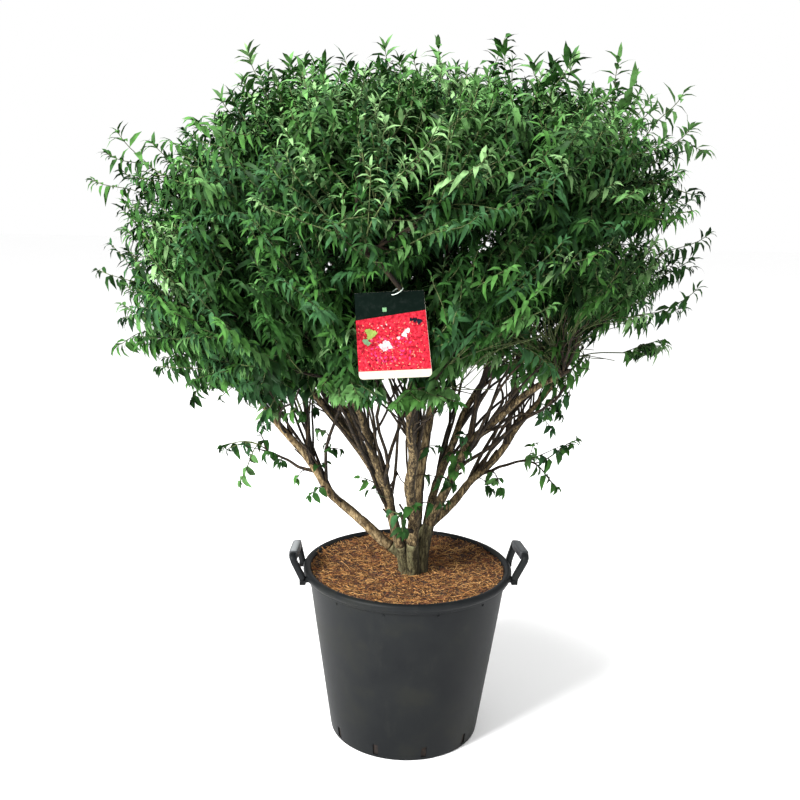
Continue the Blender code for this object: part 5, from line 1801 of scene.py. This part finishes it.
def scatter_marks(rng, share, box, cell):
    """Places, lengths and angles of leaf marks, one in some of the cells of a box of the card."""
    left, right, bottom, top = box
    marks = []
    for across in np.arange(left + cell / 2, right - cell / 2, cell):
        for up in np.arange(bottom + cell / 2, top - cell / 2, cell):
            if rng.random() < share:
                length = cell * rng.uniform(0.6, 1.1)
                place = [value + rng.uniform(-0.4, 0.4) * cell for value in (across, up)]
                place[0] = min(max(place[0], left + length / 2), right - length / 2)
                place[1] = min(max(place[1], bottom + length / 2), top - length / 2)
                marks.append((*place, length, rng.uniform(0.0, 2 * math.pi)))
    return marks


def make_tag(plan):
    """Card with a dark green head, a field of scattered red leaves and a white foot strip."""
    middle, way, hole = tag_place(plan)
    place = tag_frame(hole)
    left, right = -TAG_WIDTH / 2, TAG_WIDTH / 2
    top, bottom = TAG_HOLE_DROP, TAG_HOLE_DROP - TAG_HEIGHT
    white = card_material("card_white", screen(158, 154, 140), 0.04)
    outline = card_outline(left, right, bottom, top, TAG_CORNER, TAG_TAPER)
    card = card_piece("tag_card", outline, -TAG_THICK / 2, TAG_THICK * 0.8, white, place)
    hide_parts("picture_tag")
    face = TAG_THICK * 0.3
    film = 0.00012
    head_left, head_right, foot = top - 0.050, top - 0.036, bottom + 0.015
    edge = right - TAG_TAPER * 0.8
    head = [(right - TAG_TAPER, top), (left, top), (left, head_left), (edge, head_right)]
    card_piece("tag_head", head, face, film, card_material("card_green", screen(3, 12, 8), 0.12), place)
    field = [(edge, head_right), (left, head_left), (left, foot), (right - TAG_TAPER * 0.1, foot)]
    card_piece("tag_field", field, face, film, card_material("card_red", screen(150, 24, 38), 0.55, 170.0), place)
    rng = random.Random("card")
    edge -= 0.001
    box = (left + 0.001, edge, foot + 0.001, head_left - 0.001)
    high_box = (0.0, edge, head_left - 0.006, head_right - 0.003)
    spark_box = (-0.030, 0.000, head_left - 0.024, head_left - 0.004)
    rose_box = (-0.045, 0.035, foot + 0.014, head_left - 0.026)
    lift = face + film * 1.4
    layers = (
        ("tag_red_leaves", scatter_marks(rng, 0.85, box, 0.0100), screen(170, 36, 50)),
        ("tag_high_leaves", scatter_marks(rng, 0.9, high_box, 0.009), screen(172, 42, 48)),
        ("tag_rose_leaves", scatter_marks(rng, 0.8, rose_box, 0.0085), screen(176, 44, 88)),
        ("tag_dark_leaves", scatter_marks(rng, 0.20, box, 0.0050), screen(92, 10, 22)),
        ("tag_pink_leaves", scatter_marks(rng, 0.30, box, 0.0050), screen(182, 100, 84)),
        ("tag_spark_leaves", scatter_marks(rng, 0.35, spark_box, 0.0050), screen(178, 140, 140)),
    )
    for name, spots, colour in layers:
        leaf_marks(name, spots, place, lift, card_material(name, colour, 0.3))
        lift += film
    for name, (colour, spots) in TAG_PATCHES.items():
        patch_marks(name, spots, place, lift, card_material(name, screen(*colour), 0.3))
        lift += film
    square = card_outline(-0.018, -0.0105, top - 0.036, top - 0.0285, 0.001)
    card_piece("tag_square", square, face + film, film, card_material("card_pale", screen(92, 128, 92), 0.2), place)
    loop = Heap()
    angles = np.linspace(0.0, 2 * math.pi, 41)
    side = unit(np.cross(way, (0.0, 0.0, 1.0)))
    up = np.cross(side, way)
    ring = middle + (np.cos(angles)[:, None] * side + np.sin(angles)[:, None] * up) * LOOP_RADIUS
    add_tube(loop, ring, np.full(len(ring), LOOP_WIRE), 8)
    tie = card_material("loop_plastic", screen(196, 206, 196), 0.1)
    dress(add_object("tag_tie", loop.mesh("tag_tie"), tie), "loop", "tag_loop")
    return hole


def main():
    make_camera()
    make_studio()
    plastic = pot_material()
    make_pot(plastic)
    make_nubs(plastic)
    for name, (azimuth, painted_top_highlight) in HANDLES.items():
        make_handle(name, azimuth, plastic, grip_material(name + "_grip", painted_top_highlight))
    make_medium(medium_material())
    make_fibres([
        fibre_material("coir_orange", screen(146, 98, 46)),
        fibre_material("coir_brown", screen(72, 43, 20)),
        fibre_material("coir_straw", screen(178, 134, 78)),
        fibre_material("coir_red", screen(104, 58, 27)),
    ])
    trunk_bark = bark_material(
        "bark_trunk", screen(16, 13, 8), screen(80, 74, 50), screen(128, 122, 90), screen(108, 108, 78), 0.7, 0.45, 0.12
    )
    pale_bark = bark_material(
        "bark_pale", screen(34, 25, 15), screen(104, 86, 58), screen(164, 144, 108), screen(176, 160, 128), 0.5
    )
    old_bark = bark_material(
        "bark_old", screen(11, 8, 5), screen(66, 54, 35), screen(144, 125, 90), screen(164, 148, 116), 0.34
    )
    young_bark = bark_material(
        "bark_young", screen(9, 7, 5), screen(32, 25, 17), screen(68, 55, 37), screen(62, 60, 40), 0.3
    )
    green_bark = bark_material(
        "bark_green", screen(34, 42, 20), screen(60, 72, 38), screen(98, 108, 64), screen(80, 96, 54), 0.5
    )
    plan = plan_limbs()
    make_limbs(plan, trunk_bark, pale_bark, old_bark, young_bark)
    fan = fan_limbs(plan)
    keep_out = tag_screen(make_tag(plan))
    trees = grow_trees(plan, fan, keep_out)
    tufts = low_tufts(plan, fan)
    make_twigs(plan, trees, fan, tufts, young_bark, green_bark)
    make_leaves(trees, tufts, plan, keep_out)


main()
